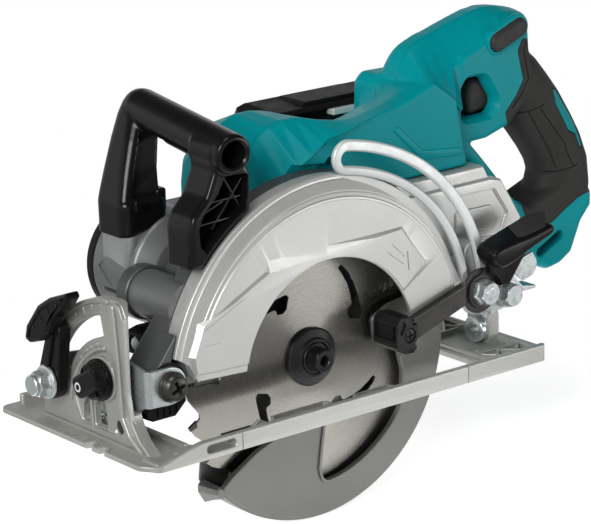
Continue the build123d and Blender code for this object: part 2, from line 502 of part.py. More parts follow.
# box that joins the bell to the main housing behind it, and the top boss for the front handle's foot
mh += bx(-46.0, -12.6, GH1 + 0.1, 94.0, 52.0, 112.0)
mh += exz(poly([(-90.5, 80), (-90.5, 104), (-72, 108), (-66, 112.5), (-58, 112.5), (-58, 96), (-70, 80)]), 56.0, 86.0)
mh -= cy(MX, MZ, MR - 4.0, 50.0, 120.0)
mh -= cy(MX, MZ, 12.0, 40.0, 60.0)
NODES["motor_housing"] = one(mh)
ec = cy(MX, MZ, MR, 94.1, 102.0) - cy(MX, MZ, MR - 4.0, 93.0, 98.5)
ec += ring(MX, MZ, 12.5, 9.5, 94.5, 101.0)
ec -= cy(MX, MZ, 9.5, 95.0, 100.1)
for i in range(16):
    a = 22.5 * i
    ec -= exz(Pos(MX, MZ) * Rot(0, 0, a) * Pos(24.5, 0) * SlotOverall(15, 3.4), 97, 108)
NODES["motor_end_cover"] = one(ec)

# blower duct from the motor bell to the drum and its dark collar
TX, TZ = -91.0, 76.5
NODES["blower_duct"] = cy(TX, TZ, 14.5, BW1 + 0.1, GH1) - cy(TX, TZ, 11.5, BW1 - 5, 50)
NODES["duct_collar"] = ring(TX, TZ, 16.4, 14.55, 36.0, GH1 - 0.1)

# ---------------------------------------------------------------------------
# lower guard: two walls and a rim about the arbor, with its lever and knob
# ---------------------------------------------------------------------------
LG0, LG1 = -7.6, 8.6
ann = rev([(24.0 + CL, LG1 - 1.5), (GUARD_R, LG1 - 1.5), (GUARD_R, LG1), (24.0 + CL, LG1)])
rim = rev([(GUARD_R - 1.6, LG0), (GUARD_R, LG0), (GUARD_R, LG1), (GUARD_R - 1.6, LG1)])
fp = rev([(20.0, LG0), (GUARD_R, LG0), (GUARD_R, LG0 + 1.5), (20.0, LG0 + 1.5)])


def pol(r, a):
    return (r * cos(radians(a)), ARB_Z + r * sin(radians(a)))


far_keep = poly([(0, ARB_Z), pol(160, -146), pol(170, -120), pol(170, -90), pol(170, -45), pol(170, 0), pol(160, 20)]) 
far_keep = far_keep + Pos(0, ARB_Z) * Circle(30)
rim_keep = poly([(0, ARB_Z), pol(160, -146), pol(170, -120), pol(170, -90), pol(170, -45), pol(170, 0), pol(160, 24)])
near_keep = poly([(-79, -41), (-74, -34), (-64, -26), (-53, -20), (-38, -14), (-24, -9.5), (-4, -10.5), (2, -20), (1.4, -44), (6.8, -50.5), (24, -49),
                  (48.8, -37.5), (65.5, -18.5), (69, 0.5), (66, 15), (56, 24), (46, 26), (44, 42), (58, 48), (72, 50), (94, 66), (130, 70), (170, 0), (140, -120), (0, -160), (-120, -120)])
lg = (ann & exz(far_keep, -20, 30)) + (rim & exz(rim_keep, -20, 30)) + (fp & exz(near_keep, -20, 30))
# turned-up nose lip at the front end
lip = rev([(88.0, LG0 - 1.6), (GUARD_R, LG0 - 1.6), (GUARD_R, LG0 + 0.2), (88.0, LG0 + 0.2)]) & exz(poly([(0, ARB_Z), pol(150, -146), pol(150, -134)]), -30, 30)
lg += lip
# blunt bar across the front end of the rim
lg += rev([(97.0, LG0 - 1.2), (104.5, LG0 - 1.2), (104.5, LG1 - 0.2), (97.0, LG1 - 0.2)]) & exz(poly([(0, ARB_Z), pol(150, -146), pol(150, -139.5)]), -30, 30)
# hub ring on the gear-case spigot
lg += rev([(24.0 + CL, LG1 - 1.5), (29.0, LG1 - 1.5), (29.0, LG1 + 0.7), (24.0 + CL, LG1 + 0.7)])
NODES["lower_guard"] = one(lg)
# knob joined through the round opening, steel lever in front of the face
KN0 = -30.2                      # outer face of the knob, clear of the rail at full bevel
knob = exz(spl([(44.5, 28), (45.5, 40), (53, 46.2), (60.6, 40.6), (61.4, 27), (57.5, 21.8), (49, 22.2)]), KN0, LG0 - 0.05)
knob = soften(knob, knob.edges().group_by(Axis.Y)[0], 2.6)
knob -= exz(hull2((55.0, 35.0), 9.4, (103.0, 49.5), 6.4), -26.9, -24.1)
knob -= exz(poly([(56.5, 45.0), (102, 58.0), (104, 50.0), (57.5, 39.0)]), KN0 - 1, -26.0)
knob -= cy(55.0, 33.5, 2.5, -40, -16) + cy(55.0, 33.5, 4.7, KN0 - 1, -28.6)
NODES["guard_knob"] = one(knob)
lb = exz(hull2((55.0, 35.0), 9.0, (103.0, 49.5), 6.0), -26.5, -24.5) & exz(poly([(48, 20), (104.5, 20), (104.5, 56), (100, 56.5), (48, 42)]), -40, 0)
fl = exz(poly([(58.0, 43.2), (101.0, 55.4), (101.6, 53.2), (58.6, 41.0)]), -30.0, -26.4)
lb += fl
lb -= cy(55.0, 33.5, 2.55, -40, -20)
NODES["guard_lever"] = one(lb)
ls = cy(55.0, 33.5, 2.5, -29.0, -16.5) + cy(55.0, 33.5, 4.6, KN0 + 0.1, -28.7)
ls -= hexy(55.0, 33.5, 3.0, -38, -29.2)
NODES["guard_lever_screw"] = ls
# coil of the guard's return spring round the spigot
NODES["guard_spring"] = Pos(0, 10.8, ARB_Z) * Rot(90, 0, 0) * Torus(25.5, 1.1)
NODES["shaft_lock"] = cy(SLX, SLZ, 4.0, 42.6, 51.0) + cy(SLX, SLZ, 6.0, 50.6, 55.0)

# ---------------------------------------------------------------------------
# rear frame: light metal box behind the drum that carries the clamp bolt
# ---------------------------------------------------------------------------
rf = exz(poly([(56, 90.5), (62, 117.8), (146.6, 117.8), (158.8, 107.8), (168.2, 93.6), (177.2, 78.8), (168, 66), (150, 60), (128, 60), (112, 66), (80, 72), (56, 74)]), 0, 57)
rf = soften(rf, rf.edges().filter_by(Axis.X).group_by(Axis.Y)[0], 3.0)
rf -= exz(poly([(112, 100), (156, 100), (166, 84), (160, 74), (120, 74)]), -1, 0.9)
rf += exz(poly([(124, 93), (152, 93), (159, 82.5), (155, 78), (124, 78)]), 0.3, 1.2)
rf -= bx(66, 170, 6, 52, 50, 112) & exz(poly([(70, 78), (70, 112), (144, 112), (160, 92), (166, 80), (160, 70), (110, 74)]), 6, 52)
rf += exz(poly([(9, 44), (9, 90.5), (58, 90.5), (58, 74), (40, 58)]), BW1 + 0.2, 45)
rf -= rev([(0, -40), (117.0, -40), (117.0, BW1 + 0.2), (0, BW1 + 0.2)])
rf -= exz(hull2((0, ARB_Z), 22.8, (LX, LZ), 34.8), 0, 60)
rf += exz(hull2((B0X, B0Z), 9.0, (124.0, 66.0), 7.0), -11.8, 2.5) - rev([(0, -40), (117.0, -40), (117.0, 20), (0, 20)])
rf -= cy(B0X, B0Z, 4.0 + 0.02, -40, 20)
NODES["rear_frame"] = one(rf)

# ---------------------------------------------------------------------------
# main housing in two halves, rear handle with rubber grip
# ---------------------------------------------------------------------------
SPLIT = 38.0
A_out = [(-12, 92), (-12, 146), (2, 159), (12, 163), (60, 165), (104, 176), (118, 176), (130, 166), (138, 122), (140, 118.2), (61, 118.2), (48, 92)]
A_in = [(-8.5, 95.5), (-8.5, 144.5), (4, 155.5), (13, 159.5), (60, 161.5), (103, 172), (115, 171), (126.5, 164), (134, 122), (63, 122), (50.5, 95.5)]
B_out = [(118, 118.2), (118, 170), (106, 178), (111, 191), (134, 201), (151, 205), (168, 210), (180, 211.5), (198, 207), (211, 200), (217, 194), (217, 180),
         (229, 165), (243, 149), (256, 129), (264, 115), (269, 100), (272, 79), (271, 66), (262, 54), (252, 38), (241, 29), (229, 27), (216, 32), (200, 51),
         (185, 66), (177.6, 79.2), (168.6, 94.0), (159.2, 108.2), (147.0, 118.2)]
B_hole = [(152, 130), (166, 127), (187, 133), (199, 125), (212, 111), (221, 99), (222, 91), (214, 84), (203, 81), (192, 90), (180, 104), (166, 119)]
T_win = [(147, 142), (147, 160), (152, 167), (178, 167), (178, 142)]
G_reg = [(209, 191), (213, 183), (208, 175), (211, 157), (206, 146), (186, 134.5), (198, 118), (211, 100), (203, 80), (215, 76), (240, 74), (276, 70), (292, 72), (292, 191)]
G_core = [(200, 168), (200, 146), (209, 131), (221, 112), (228, 98), (228, 84), (222, 70), (262, 70), (263, 98), (257, 113), (249, 127), (236, 147), (222, 163), (211, 171)]
HY0, HY1 = 20.0, 56.0            # handle width
PY0, PY1 = 8.0, 75.0             # panel to battery plate

bodyA = exz(poly(A_out), PY0, PY1)
top_left = [e for e in bodyA.edges().filter_by(GeomType.LINE) if abs(e.center().Y - PY0) < 0.01 and e.center().Z > 150 and abs(e.tangent_at(0.5).X) > 0.8]
try:
    bodyA = chamfer(top_left, 9.0)
except Exception:
    pass
bodyB = exz(poly(B_out), HY0, HY1) - exz(poly(B_hole), 0, 80) - exz(poly(T_win), 0, 80)
bodyC = exz(poly([(-12, 94), (28, 94), (28, 157), (8, 160), (-4, 152), (-12, 144)]), PY1 - 0.1, 108.0)
outer = bodyA + bodyB + bodyC
outer -= exz(poly(G_reg), 0, 90)
outer -= rev([(0, -60), (116.0, -60), (116.0, BW1 + 0.2), (0, BW1 + 0.2)])
outer += exz(poly(G_core), 26.0, 50.0)
# inner cavities: controller bay, switch bay, trigger and lock-off openings
outer -= exz(poly(A_in), 12.0, 71.0)
outer -= bx(-6, 24, 70, 104, 98, 150)
outer -= bx(170, 206, 28.5, 47.5, 142.5, 167.2)
outer -= exz(poly([(124, 172), (124, 190), (150, 198), (168, 200), (168, 175), (150, 172)]), 26.0, 50.0)
LOX, LOZ, LOA = 183.0, 193.0, 21.0
lo_slot = Pos(LOX, LOZ) * Rot(0, 0, LOA) * SlotOverall(32.6, 12.6)
outer -= exz(lo_slot, 0, SPLIT)
SCREWS = [(132, 187.5), (204, 194), (262, 62), (238, 38), (196, 66), (146, 124.0)]
for sx, sz in SCREWS:
    outer -= cy(sx, sz, 3.55, 51.95, 90)
    outer -= cy(sx, sz, 1.85, 29.9, 60)
# lanyard slot in the tail
outer -= exz(Pos(236, 48) * Rot(0, 0, 38) * SlotOverall(18, 5), 0, 90)
# battery rails on the right-hand plate
for z0 in (95.0, 148.0):
    outer += bx(34, 138, PY1 - 0.1, 81.0, z0, z0 + 4.0)
left = outer & bx(-60, 330, -20, SPLIT, 0, 260)
right = outer & bx(-60, 330, SPLIT, 150, 0, 260)
NODES["housing_left"] = one(left)
NODES["housing_right"] = one(right)

grip = (exz(poly(B_out), HY0 - 0.8, HY1 + 0.8) - exz(poly(B_hole), 0, 80)) & exz(poly(G_reg), 0, 90)
grip -= exz(poly(G_core), 26.0, 50.0)
NODES["rear_grip"] = one(grip)
NODES["housing_screws"] = Compound(children=[cy(sx, sz, 3.5, 52.0, 55.6) + cy(sx, sz, 1.8, 30.0, 52.1) for sx, sz in SCREWS])

# trigger, switch, lock-off button
trg = exz(poly([(158.5, 144.5), (157.0, 150), (157.8, 158), (161, 165.5), (180, 165.5), (180, 143.5), (161, 143.5)]), 29.2, 46.8)
trg = soften(trg, trg.edges().filter_by(Axis.Z, reverse=True).filter_by(Axis.X, reverse=True).group_by(Axis.X)[0], 2.0)
NODES["trigger"] = trg
NODES["switch_unit"] = bx(189.0, 205.0, 29.0, 47.0, 143.5, 164.0)
lob = exz(Pos(LOX, LOZ) * Rot(0, 0, LOA) * SlotOverall(32.0, 12.0), 16.0, 31.0)
lob = soften(lob, lob.edges().group_by(Axis.Y)[0], 2.5)
NODES["lock_off_button"] = lob

# controller on the bay floor, terminal block on the battery plate
NODES["controller"] = bx(68, 128, 18, 60, 122.0, 136.0)
tb = bx(40, 74, PY1, 83.0, 106, 144)
for z0 in (112, 122, 132):
    tb -= bx(39, 66, 79.0, 90, z0, z0 + 5.0)
NODES["terminal_block"] = tb

# battery pack, slides off to the rear
bat = bx(31, 148, 76.0, 146.0, 85, 162)
bat = soften(bat, bat.edges().filter_by(Axis.X).group_by(Axis.Y)[-1], 10.0)
bat = soften(bat, bat.edges().filter_by(Axis.X).group_by(Axis.Y)[0], 5.0)
bat -= bx(20, 80, 70, 84.0, 105, 145)
for z0 in (95.0, 148.0):
    bat -= bx(20, 142, 70, 81.6, z0 - 0.5, z0 + 4.5)
bat -= bx(144.0, 160, 99.5, 124.5, 111.5, 136.5)
NODES["battery_pack"] = one(bat)
NODES["battery_release"] = bx(147.0, 151.0, 99.9, 124.1, 111.9, 136.1)

# ---------------------------------------------------------------------------
# front handle: hollow bar over the motor with a leg at each end
# ---------------------------------------------------------------------------
def rod(p, q, r):
    d = Vector(*q) - Vector(*p)
    return Part(Solid.make_cylinder(r, d.length, Plane(origin=p, z_dir=d)).wrapped)


FN, FF = (-68.5, -22.0, 166.0), (-60.0, 78.0, 176.5)
fh = rod(FN, FF, 12.0) + Pos(*FF) * Sphere(12.0)
fh += rod((-68.0, -9.0, 165.0), (-82.0, 2.0, 118.0), 10.0) + rod((-68.0, -14.0, 165.0), (-80.0, -10.0, 120.0), 8.5)
fh += exz(poly([(-97, 112), (-97, 124), (-86, 128), (-68, 122), (-62, 108), (-70, 100), (-88, 100)]), -13.0, 12.0)
fh += rod(FF, (-78.0, 71.0, 120.0), 11.0)
fh += exz(poly([(-91.5, 104.1), (-72, 108.1), (-66, 112.6), (-61, 113.2), (-58, 122), (-64, 136), (-84, 132), (-92.5, 124)]), 55.0, 87.0)
fh -= rod((-69.9, -38.0, 164.4), (-64.3, 28.0, 171.1), 8.0)
fh -= rev([(0, -60), (CASE_R + 0.3, -60), (CASE_R + 0.3, 30), (0, 30)])
fh -= exz(poly([(-90.7, 78), (-90.7, 104.1), (-72, 108.1), (-66, 112.6), (-57.8, 112.6), (-57.8, 96), (-70, 78)]), 55.8, 86.2)
fh -= exz(hull2((LX, LZ), 35.0, (MX, MZ), 20.5), 0, 60)
fh -= cy(MX, MZ, MR + 0.3, 40, 106) + bx(-46.5, -12.0, 40, 98, 50.0, 112.4)
NODES["front_handle"] = one(fh)

# work light ahead of the gear case and the chip deflector under the pivot
wl = exz(poly([(-108, 43), (-108, 57), (-100, 58.8), (-92, 58.8), (-92, 50), (-97, 43)]), 21.0, 37.0)
wl += exz(poly([(-94, 50), (-94, 58.5), (-74, 58.5), (-58, 66), (-56, 58), (-66, 48)]), 24.0, 35.0)
wl -= exz(hull2((LX, LZ), 34.7, (MX, MZ), 20.2), 0, 60)
wl -= cx(29.0, 50.0, 4.3, -110, -106)
NODES["work_light"] = one(wl)
NODES["light_lens"] = cx(29.0, 50.0, 4.25, -108.6, -106.0)
cd = exz(poly([(-127, 17), (-124, 25.5), (-111, 25.6), (-104, 30), (-99, 30), (-98, 22), (-106, 14.5), (-122, 14.5)]), -8.0, 6.0)
cd -= cy(PIV_X, PIV_Z, 11.75, -30, 30)
cd -= exz(hull2((PIV_X, PIV_Z), 11.75, (-92.0, 62.0), 16.2), -30, 30)
NODES["chip_deflector"] = one(cd)

# ---------------------------------------------------------------------------
os.makedirs("parts", exist_ok=True)
for name, shape in NODES.items():
    export_step(shape, f"parts/{name}.step")
    print(name, len(shape.solids()), round(shape.volume / 1000, 2), "cm3", "valid" if shape.is_valid else "INVALID")
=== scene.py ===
import bpy, bmesh, json
from math import sin, cos, tan, pi, radians, degrees, atan2, acos, sqrt, hypot
from mathutils import Vector, Matrix


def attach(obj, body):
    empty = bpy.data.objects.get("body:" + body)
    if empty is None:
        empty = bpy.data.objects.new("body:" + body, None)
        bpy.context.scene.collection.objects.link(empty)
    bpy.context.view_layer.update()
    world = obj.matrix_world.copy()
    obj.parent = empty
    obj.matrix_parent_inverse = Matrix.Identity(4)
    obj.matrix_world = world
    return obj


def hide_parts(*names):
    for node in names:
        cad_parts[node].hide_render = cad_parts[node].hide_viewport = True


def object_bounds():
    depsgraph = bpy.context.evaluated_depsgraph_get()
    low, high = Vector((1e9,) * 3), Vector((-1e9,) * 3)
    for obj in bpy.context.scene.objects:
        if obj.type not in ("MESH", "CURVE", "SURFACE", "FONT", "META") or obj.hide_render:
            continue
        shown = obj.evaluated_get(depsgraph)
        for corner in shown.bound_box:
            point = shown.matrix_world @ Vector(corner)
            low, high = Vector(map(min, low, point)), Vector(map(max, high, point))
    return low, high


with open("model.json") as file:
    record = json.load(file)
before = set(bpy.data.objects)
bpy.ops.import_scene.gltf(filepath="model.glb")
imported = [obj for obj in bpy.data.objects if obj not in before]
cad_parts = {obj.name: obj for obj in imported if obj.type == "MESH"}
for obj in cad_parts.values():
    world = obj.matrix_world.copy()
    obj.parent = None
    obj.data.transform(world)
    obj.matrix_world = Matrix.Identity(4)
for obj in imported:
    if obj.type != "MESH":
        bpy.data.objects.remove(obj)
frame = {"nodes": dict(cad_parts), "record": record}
CAD_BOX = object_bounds()
NODE = frame["nodes"]
BODY_OF = {n: b for b, ns in frame["record"]["behaviour"]["bodies"].items() for n in ns}
SCENE = bpy.context.scene
S = 0.001                      # the code below works in millimetres

# ---------------------------------------------------------------------------
# shape kit
# ---------------------------------------------------------------------------
XZ = lambda u, v, d: (u, d, v)       # blade plane, depth along Y
YZ = lambda u, v, d: (d, u, v)       # front plane, depth along X
XY = lambda u, v, d: (u, v, d)       # sole plane, depth along Z


def plane(origin, ux, uy):
    """Placing function of a tilted plane; depth runs along ux x uy."""
    o, a, b = Vector(origin), Vector(ux).normalized(), Vector(uy).normalized()
    c = a.cross(b).normalized()
    b = c.cross(a)
    return lambda u, v, d: tuple(o + a * u + b * v + c * d)


def P2(pts):
    return [Vector((p[0], p[1])) for p in pts]


def dedupe(o, tol=1e-3):
    out = []
    for p in o:
        if not out or (p - out[-1]).length > tol:
            out.append(p)
    if len(out) > 1 and (out[0] - out[-1]).length <= tol:
        out.pop()
    return out


def area(o):
    return 0.5 * sum(o[i - 1].x * o[i].y - o[i].x * o[i - 1].y for i in range(len(o)))


def ccw(o):
    o = dedupe(o)
    return o if area(o) > 0 else o[::-1]


def offset(o, d):
    """Outline moved outwards by d; points of a corner that closes up meet in one point."""
    n, out = len(o), []
    nrm = []
    for i in range(n):
        e = (o[(i + 1) % n] - o[i]).normalized()
        nrm.append(Vector((e.y, -e.x)))
    for i in range(n):
        n1, n2, b = nrm[i - 1], nrm[i], o[i]
        m = n1 + n2
        if m.length < 1e-6:
            out.append(b + n1 * d)
            continue
        m.normalize()
        out.append(b + m * (d / max(0.4, m.dot(n1))))
    for _ in range(3):
        bad = [(out[(i + 1) % n] - out[i]).dot(o[(i + 1) % n] - o[i]) < -1e-9 for i in range(n)]
        if not any(bad) or all(bad):
            break
        s0 = next(i for i in range(n) if not bad[i])
        i = s0
        while i < s0 + n:
            if not bad[i % n]:
                i += 1
                continue
            j = i
            while bad[j % n]:
                j += 1
            a, b = (i - 1) % n, j % n
            pa, da = o[a] + nrm[a] * d, o[(a + 1) % n] - o[a]
            pb, db = o[b] + nrm[b] * d, o[(b + 1) % n] - o[b]
            det = da.x * db.y - da.y * db.x
            if abs(det) > 1e-9:
                t = ((pb.x - pa.x) * db.y - (pb.y - pa.y) * db.x) / det
                x = pa + da * t
            else:
                x = (out[i % n] + out[j % n]) * 0.5
            if (x - o[i % n]).length > abs(d) * 4 + (o[i % n] - o[j % n]).length:
                x = (out[i % n] + out[j % n]) * 0.5
            for k in range(i, j + 1):
                out[k % n] = x.copy()
            i = j + 1
    return out


def rp(pts, r=0.0, n=5):
    """Closed outline with rounded corners; a third value on a point is its own radius."""
    out, N = [], len(pts)
    for i, p in enumerate(pts):
        rad = p[2] if len(p) > 2 else r
        p0, a, b = Vector(p[:2]), Vector(pts[i - 1][:2]), Vector(pts[(i + 1) % N][:2])
        if rad <= 0:
            out.append(p0)
            continue
        da, db = a - p0, b - p0
        la, lb = da.length, db.length
        da.normalize(); db.normalize()
        ang = acos(max(-1, min(1, da.dot(db))))
        if ang > pi - 0.12 or ang < 0.03:
            out.append(p0)
            continue
        t = min(rad / tan(ang / 2), la * 0.48, lb * 0.48)
        rr = t * tan(ang / 2)
        c = p0 + (da + db).normalized() * (rr / sin(ang / 2))
        s, e = p0 + da * t, p0 + db * t
        a0, a1 = atan2(s.y - c.y, s.x - c.x), atan2(e.y - c.y, e.x - c.x)
        d = (a1 - a0 + pi) % (2 * pi) - pi
        out += [c + Vector((cos(a0 + d * k / n), sin(a0 + d * k / n))) * rr for k in range(n + 1)]
    return out


def arc(cx, cy, r, a0, a1, n=24):
    return [Vector((cx + r * cos(radians(a0 + (a1 - a0) * k / n)), cy + r * sin(radians(a0 + (a1 - a0) * k / n)))) for k in range(n + 1)]


def circ(cx, cy, r, n=48):
    return [Vector((cx + r * cos(2 * pi * k / n), cy + r * sin(2 * pi * k / n))) for k in range(n)]


def slot2(p, q, r, n=10):
    """Outline of a bar with round ends."""
    p, q = Vector(p), Vector(q)
    a = degrees(atan2(q.y - p.y, q.x - p.x))
    return arc(q.x, q.y, r, a - 90, a + 90, n) + arc(p.x, p.y, r, a + 90, a + 270, n)


def hull2(c1, r1, c2, r2, n=16):
    """Outline of two circles and their tangents."""
    d = hypot(c2[0] - c1[0], c2[1] - c1[1])
    ph = degrees(atan2(c2[1] - c1[1], c2[0] - c1[0]))
    al = degrees(acos((r1 - r2) / d))
    return arc(c2[0], c2[1], r2, ph - al, ph + al, n) + arc(c1[0], c1[1], r1, ph + al, ph + 360 - al, n)


def spline(pts, n=8, closed=True):
    """Smooth line through points (Catmull-Rom, centripetal-free)."""
    pts = [Vector(p) for p in pts]
    N, out = len(pts), []
    for i in range(N if closed else N - 1):
        p0 = pts[(i - 1) % N] if closed or i > 0 else pts[0] * 2 - pts[1]
        p1, p2 = pts[i], pts[(i + 1) % N]
        p3 = pts[(i + 2) % N] if closed or i + 2 < N else pts[-1] * 2 - pts[-2]
        for k in range(n):
            t = k / n
            out.append(0.5 * ((2 * p1) + (p2 - p0) * t + (2 * p0 - 5 * p1 + 4 * p2 - p3) * t * t + (3 * p1 - p0 - 3 * p2 + p3) * t ** 3))
    if not closed:
        out.append(pts[-1])
    return out


def link(bm, name="tmp"):
    bmesh.ops.remove_doubles(bm, verts=bm.verts, dist=1e-7)
    bmesh.ops.recalc_face_normals(bm, faces=bm.faces)
    me = bpy.data.meshes.new(name)
    bm.to_mesh(me)
    bm.free()
    ob = bpy.data.objects.new(name, me)
    SCENE.collection.objects.link(ob)
    return ob


def rings_mesh(rings, cap=True, closed=True, loop=False):
    """Solid through rings of points, in millimetres."""
    bm = bmesh.new()
    vs = [[bm.verts.new(Vector(p) * S) for p in r] for r in rings]
    n = len(vs[0])
    pairs = list(zip(vs, vs[1:])) + ([(vs[-1], vs[0])] if loop else [])
    for a, b in pairs:
        for i in range(n if closed else n - 1):
            j = (i + 1) % n
            bm.faces.new((a[i], a[j], b[j], b[i]))
    if cap and not loop:
        bm.faces.new(list(reversed(vs[0])))
        bm.faces.new(vs[-1])
    return link(bm)


def simple(o):
    """True if no two edges of an outline cross."""
    o = dedupe(o)
    n = len(o)
    e = [(o[i].x, o[i].y, o[(i + 1) % n].x, o[(i + 1) % n].y) for i in range(n)]
    bb = [(min(a[0], a[2]), max(a[0], a[2]), min(a[1], a[3]), max(a[1], a[3])) for a in e]
    for i in range(n):
        ax, ay, bx_, by_ = e[i]
        x0, x1, y0, y1 = bb[i]
        for j in range(i + 2, n - (i == 0)):
            b = bb[j]
            if b[0] > x1 or b[1] < x0 or b[2] > y1 or b[3] < y0:
                continue
            cx_, cy_, dx_, dy_ = e[j]
            s1 = (bx_ - ax) * (cy_ - ay) - (by_ - ay) * (cx_ - ax)
            s2 = (bx_ - ax) * (dy_ - ay) - (by_ - ay) * (dx_ - ax)
            s3 = (dx_ - cx_) * (ay - cy_) - (dy_ - cy_) * (ax - cx_)
            s4 = (dx_ - cx_) * (by_ - cy_) - (dy_ - cy_) * (bx_ - cx_)
            if s1 * s2 <= 0 and s3 * s4 <= 0:
                return False
    return True


def prism(o, pl, d0, d1, r0=0.0, r1=None, seg=3, taper=0.0):
    """Extruded outline with rounded rims: r0 at depth d0, r1 at depth d1; a rim too large for the outline shrinks."""
    if d0 > d1:
        d0, d1, r0, r1 = d1, d0, (r0 if r1 is None else r1), r0
    r1 = r0 if r1 is None else r1
    o = ccw(o)
    for _ in range(6):
        if r0 > 0 and not (area(offset(o, -r0)) > 0 and simple(offset(o, -r0))):
            r0 *= 0.75
        if r1 > 0 and not (area(offset(o, -r1)) > 0 and simple(offset(o, -r1))):
            r1 *= 0.75

    def side(d, sg, r, t):
        if r <= 0:
            return [(-t, d)]
        return [(-t - r * (1 - sin(k * pi / 2 / seg)), d + sg * r * (1 - cos(k * pi / 2 / seg))) for k in range(seg + 1)]
    st = side(d0, 1, r0, max(0, taper)) + list(reversed(side(d1, -1, r1, max(0, -taper))))
    return rings_mesh([[pl(p.x, p.y, d) for p in (offset(o, f) if f else o)] for f, d in st])


def hole(o, pl, d0, d1, c=0.4, over=1.0, ends="both"):
    """Cutter for a through hole whose mouths are chamfered by c; d0, d1 are the faces it opens in."""
    o = ccw(o)
    st = []
    if ends in ("both", "low"):
        st += [(c, d0 - over), (c, d0), (0.0, d0 + c)]
    else:
        st += [(0.0, d0)]
    if ends in ("both", "high"):
        st += [(0.0, d1 - c), (c, d1), (c, d1 + over)]
    else:
        st += [(0.0, d1)]
    return rings_mesh([[pl(p.x, p.y, d) for p in (offset(o, f) if f else o)] for f, d in st])


def lathe(prof, c=(0.0, 26.0), ax="Y", seg=96, a0=0.0, a1=360.0):
    """Body of revolution from (radius, along) points about an axis through c."""
    prof = [Vector(p) for p in prof]
    if ax == "Y":
        pl = lambda r, h, a: (c[0] + r * cos(a), h, c[1] + r * sin(a))
    elif ax == "X":
        pl = lambda r, h, a: (h, c[0] + r * cos(a), c[1] + r * sin(a))
    else:
        pl = lambda r, h, a: (c[0] + r * cos(a), c[1] + r * sin(a), h)
    full = abs(a1 - a0) >= 359.9
    n = seg if full else seg + 1
    rings = [[pl(p.x, p.y, radians(a0 + (a1 - a0) * k / seg)) for p in prof] for k in range(n)]
    return rings_mesh(rings, cap=not full, closed=True, loop=full)


def tube(path, rad, n=20, squash=None, up=(0, 0, 1), cap=True):
    """Round bar along points; rad is a number or one per point; squash gives (side, up) factors per point."""
    path = [Vector(p) for p in path]
    N = len(path)
    rad = [rad] * N if not isinstance(rad, (list, tuple)) else rad
    rings, u = [], Vector(up)
    for i, p in enumerate(path):
        t = (path[min(N - 1, i + 1)] - path[max(0, i - 1)]).normalized()
        s = t.cross(u).normalized()
        v = s.cross(t).normalized()
        ks, kv = (1, 1) if squash is None else squash[i]
        rings.append([p + s * (rad[i] * ks * cos(2 * pi * k / n)) + v * (rad[i] * kv * sin(2 * pi * k / n)) for k in range(n)])
    return rings_mesh(rings, cap=cap)


def drop(ob):
    me = ob.data
    bpy.data.objects.remove(ob)
    if me and me.users == 0:
        bpy.data.meshes.remove(me)


def bake(ob):
    """Apply an object's modifiers."""
    dg = bpy.context.evaluated_depsgraph_get()
    me = bpy.data.meshes.new_from_object(ob.evaluated_get(dg))
    old = ob.data
    ob.modifiers.clear()
    ob.data = me
    if old.users == 0:
        bpy.data.meshes.remove(old)
    return ob


def boole(a, kind, others, solver="MANIFOLD"):
    others = [o for o in others if o is not None]
    if len(others) > 1 and kind != "INTERSECT":
        c = bpy.data.collections.new("operands")
        for o in others:
            c.objects.link(o)
        m = a.modifiers.new("b", "BOOLEAN")
        m.operation, m.operand_type, m.collection, m.solver = kind, "COLLECTION", c, solver
        bake(a)
        bpy.data.collections.remove(c)
    else:
        for o in others:
            m = a.modifiers.new("b", "BOOLEAN")
            m.operation, m.object, m.solver = kind, o, solver
        bake(a)
    for o in others:
        drop(o)
    bm = bmesh.new()
    bm.from_mesh(a.data)
    bmesh.ops.triangulate(bm, faces=[f for f in bm.faces if len(f.verts) > 4], ngon_method="EAR_CLIP")
    bm.to_mesh(a.data)
    bm.free()
    return a


def cut(a, *o, **k):
    return boole(a, "DIFFERENCE", o, **k)


def add(a, *o, **k):
    return boole(a, "UNION", o, **k)


def common(a, *o, **k):
    return boole(a, "INTERSECT", o, **k)


def join(obs):
    """One mesh out of several, left as separate shells."""
    bm = bmesh.new()
    for o in obs:
        bm.from_mesh(o.data)
    for o in obs:
        drop(o)
    me = bpy.data.meshes.new("tmp")
    bm.to_mesh(me)
    bm.free()
    ob = bpy.data.objects.new("tmp", me)
    SCENE.collection.objects.link(ob)
    return ob


def blk(x0, x1, y0, y1, z0, z1, r=0.5, rv=None):
    """Block with rounded rims and corners."""
    rv = r if rv is None else max(rv, r)
    o = rp([(x0, y0), (x1, y0), (x1, y1), (x0, y1)], rv, 4) if rv > 0 else P2([(x0, y0), (x1, y0), (x1, y1), (x0, y1)])
    return prism(o, XY, z0, z1, r, r, 3)


def bevelled(ob, w=0.5, seg=2, ang=32, clamp=True):
    m = ob.modifiers.new("bv", "BEVEL")
    m.width, m.segments, m.limit_method, m.angle_limit, m.use_clamp_overlap = w * S, seg, "ANGLE", radians(ang), clamp
    return bake(ob)


def remeshed(ob, voxel, smooth=0, factor=0.5):
    m = ob.modifiers.new("rm", "REMESH")
    m.mode, m.voxel_size, m.adaptivity = "VOXEL", voxel * S, 0.0
    if smooth:
        s = ob.modifiers.new("sm", "SMOOTH")
        s.factor, s.iterations = factor, smooth
    return bake(ob)


def mend(ob):
    """Close the few pin-point gaps a boolean can leave."""
    bm = bmesh.new()
    bm.from_mesh(ob.data)
    for _ in range(3):
        odd = [e for e in bm.edges if len(e.link_faces) != 2]
        if not odd or len(odd) > 12 or max(e.calc_length() for e in odd) > 1.5e-3:
            break
        bmesh.ops.collapse(bm, edges=odd)
    bm.to_mesh(ob.data)
    bm.free()


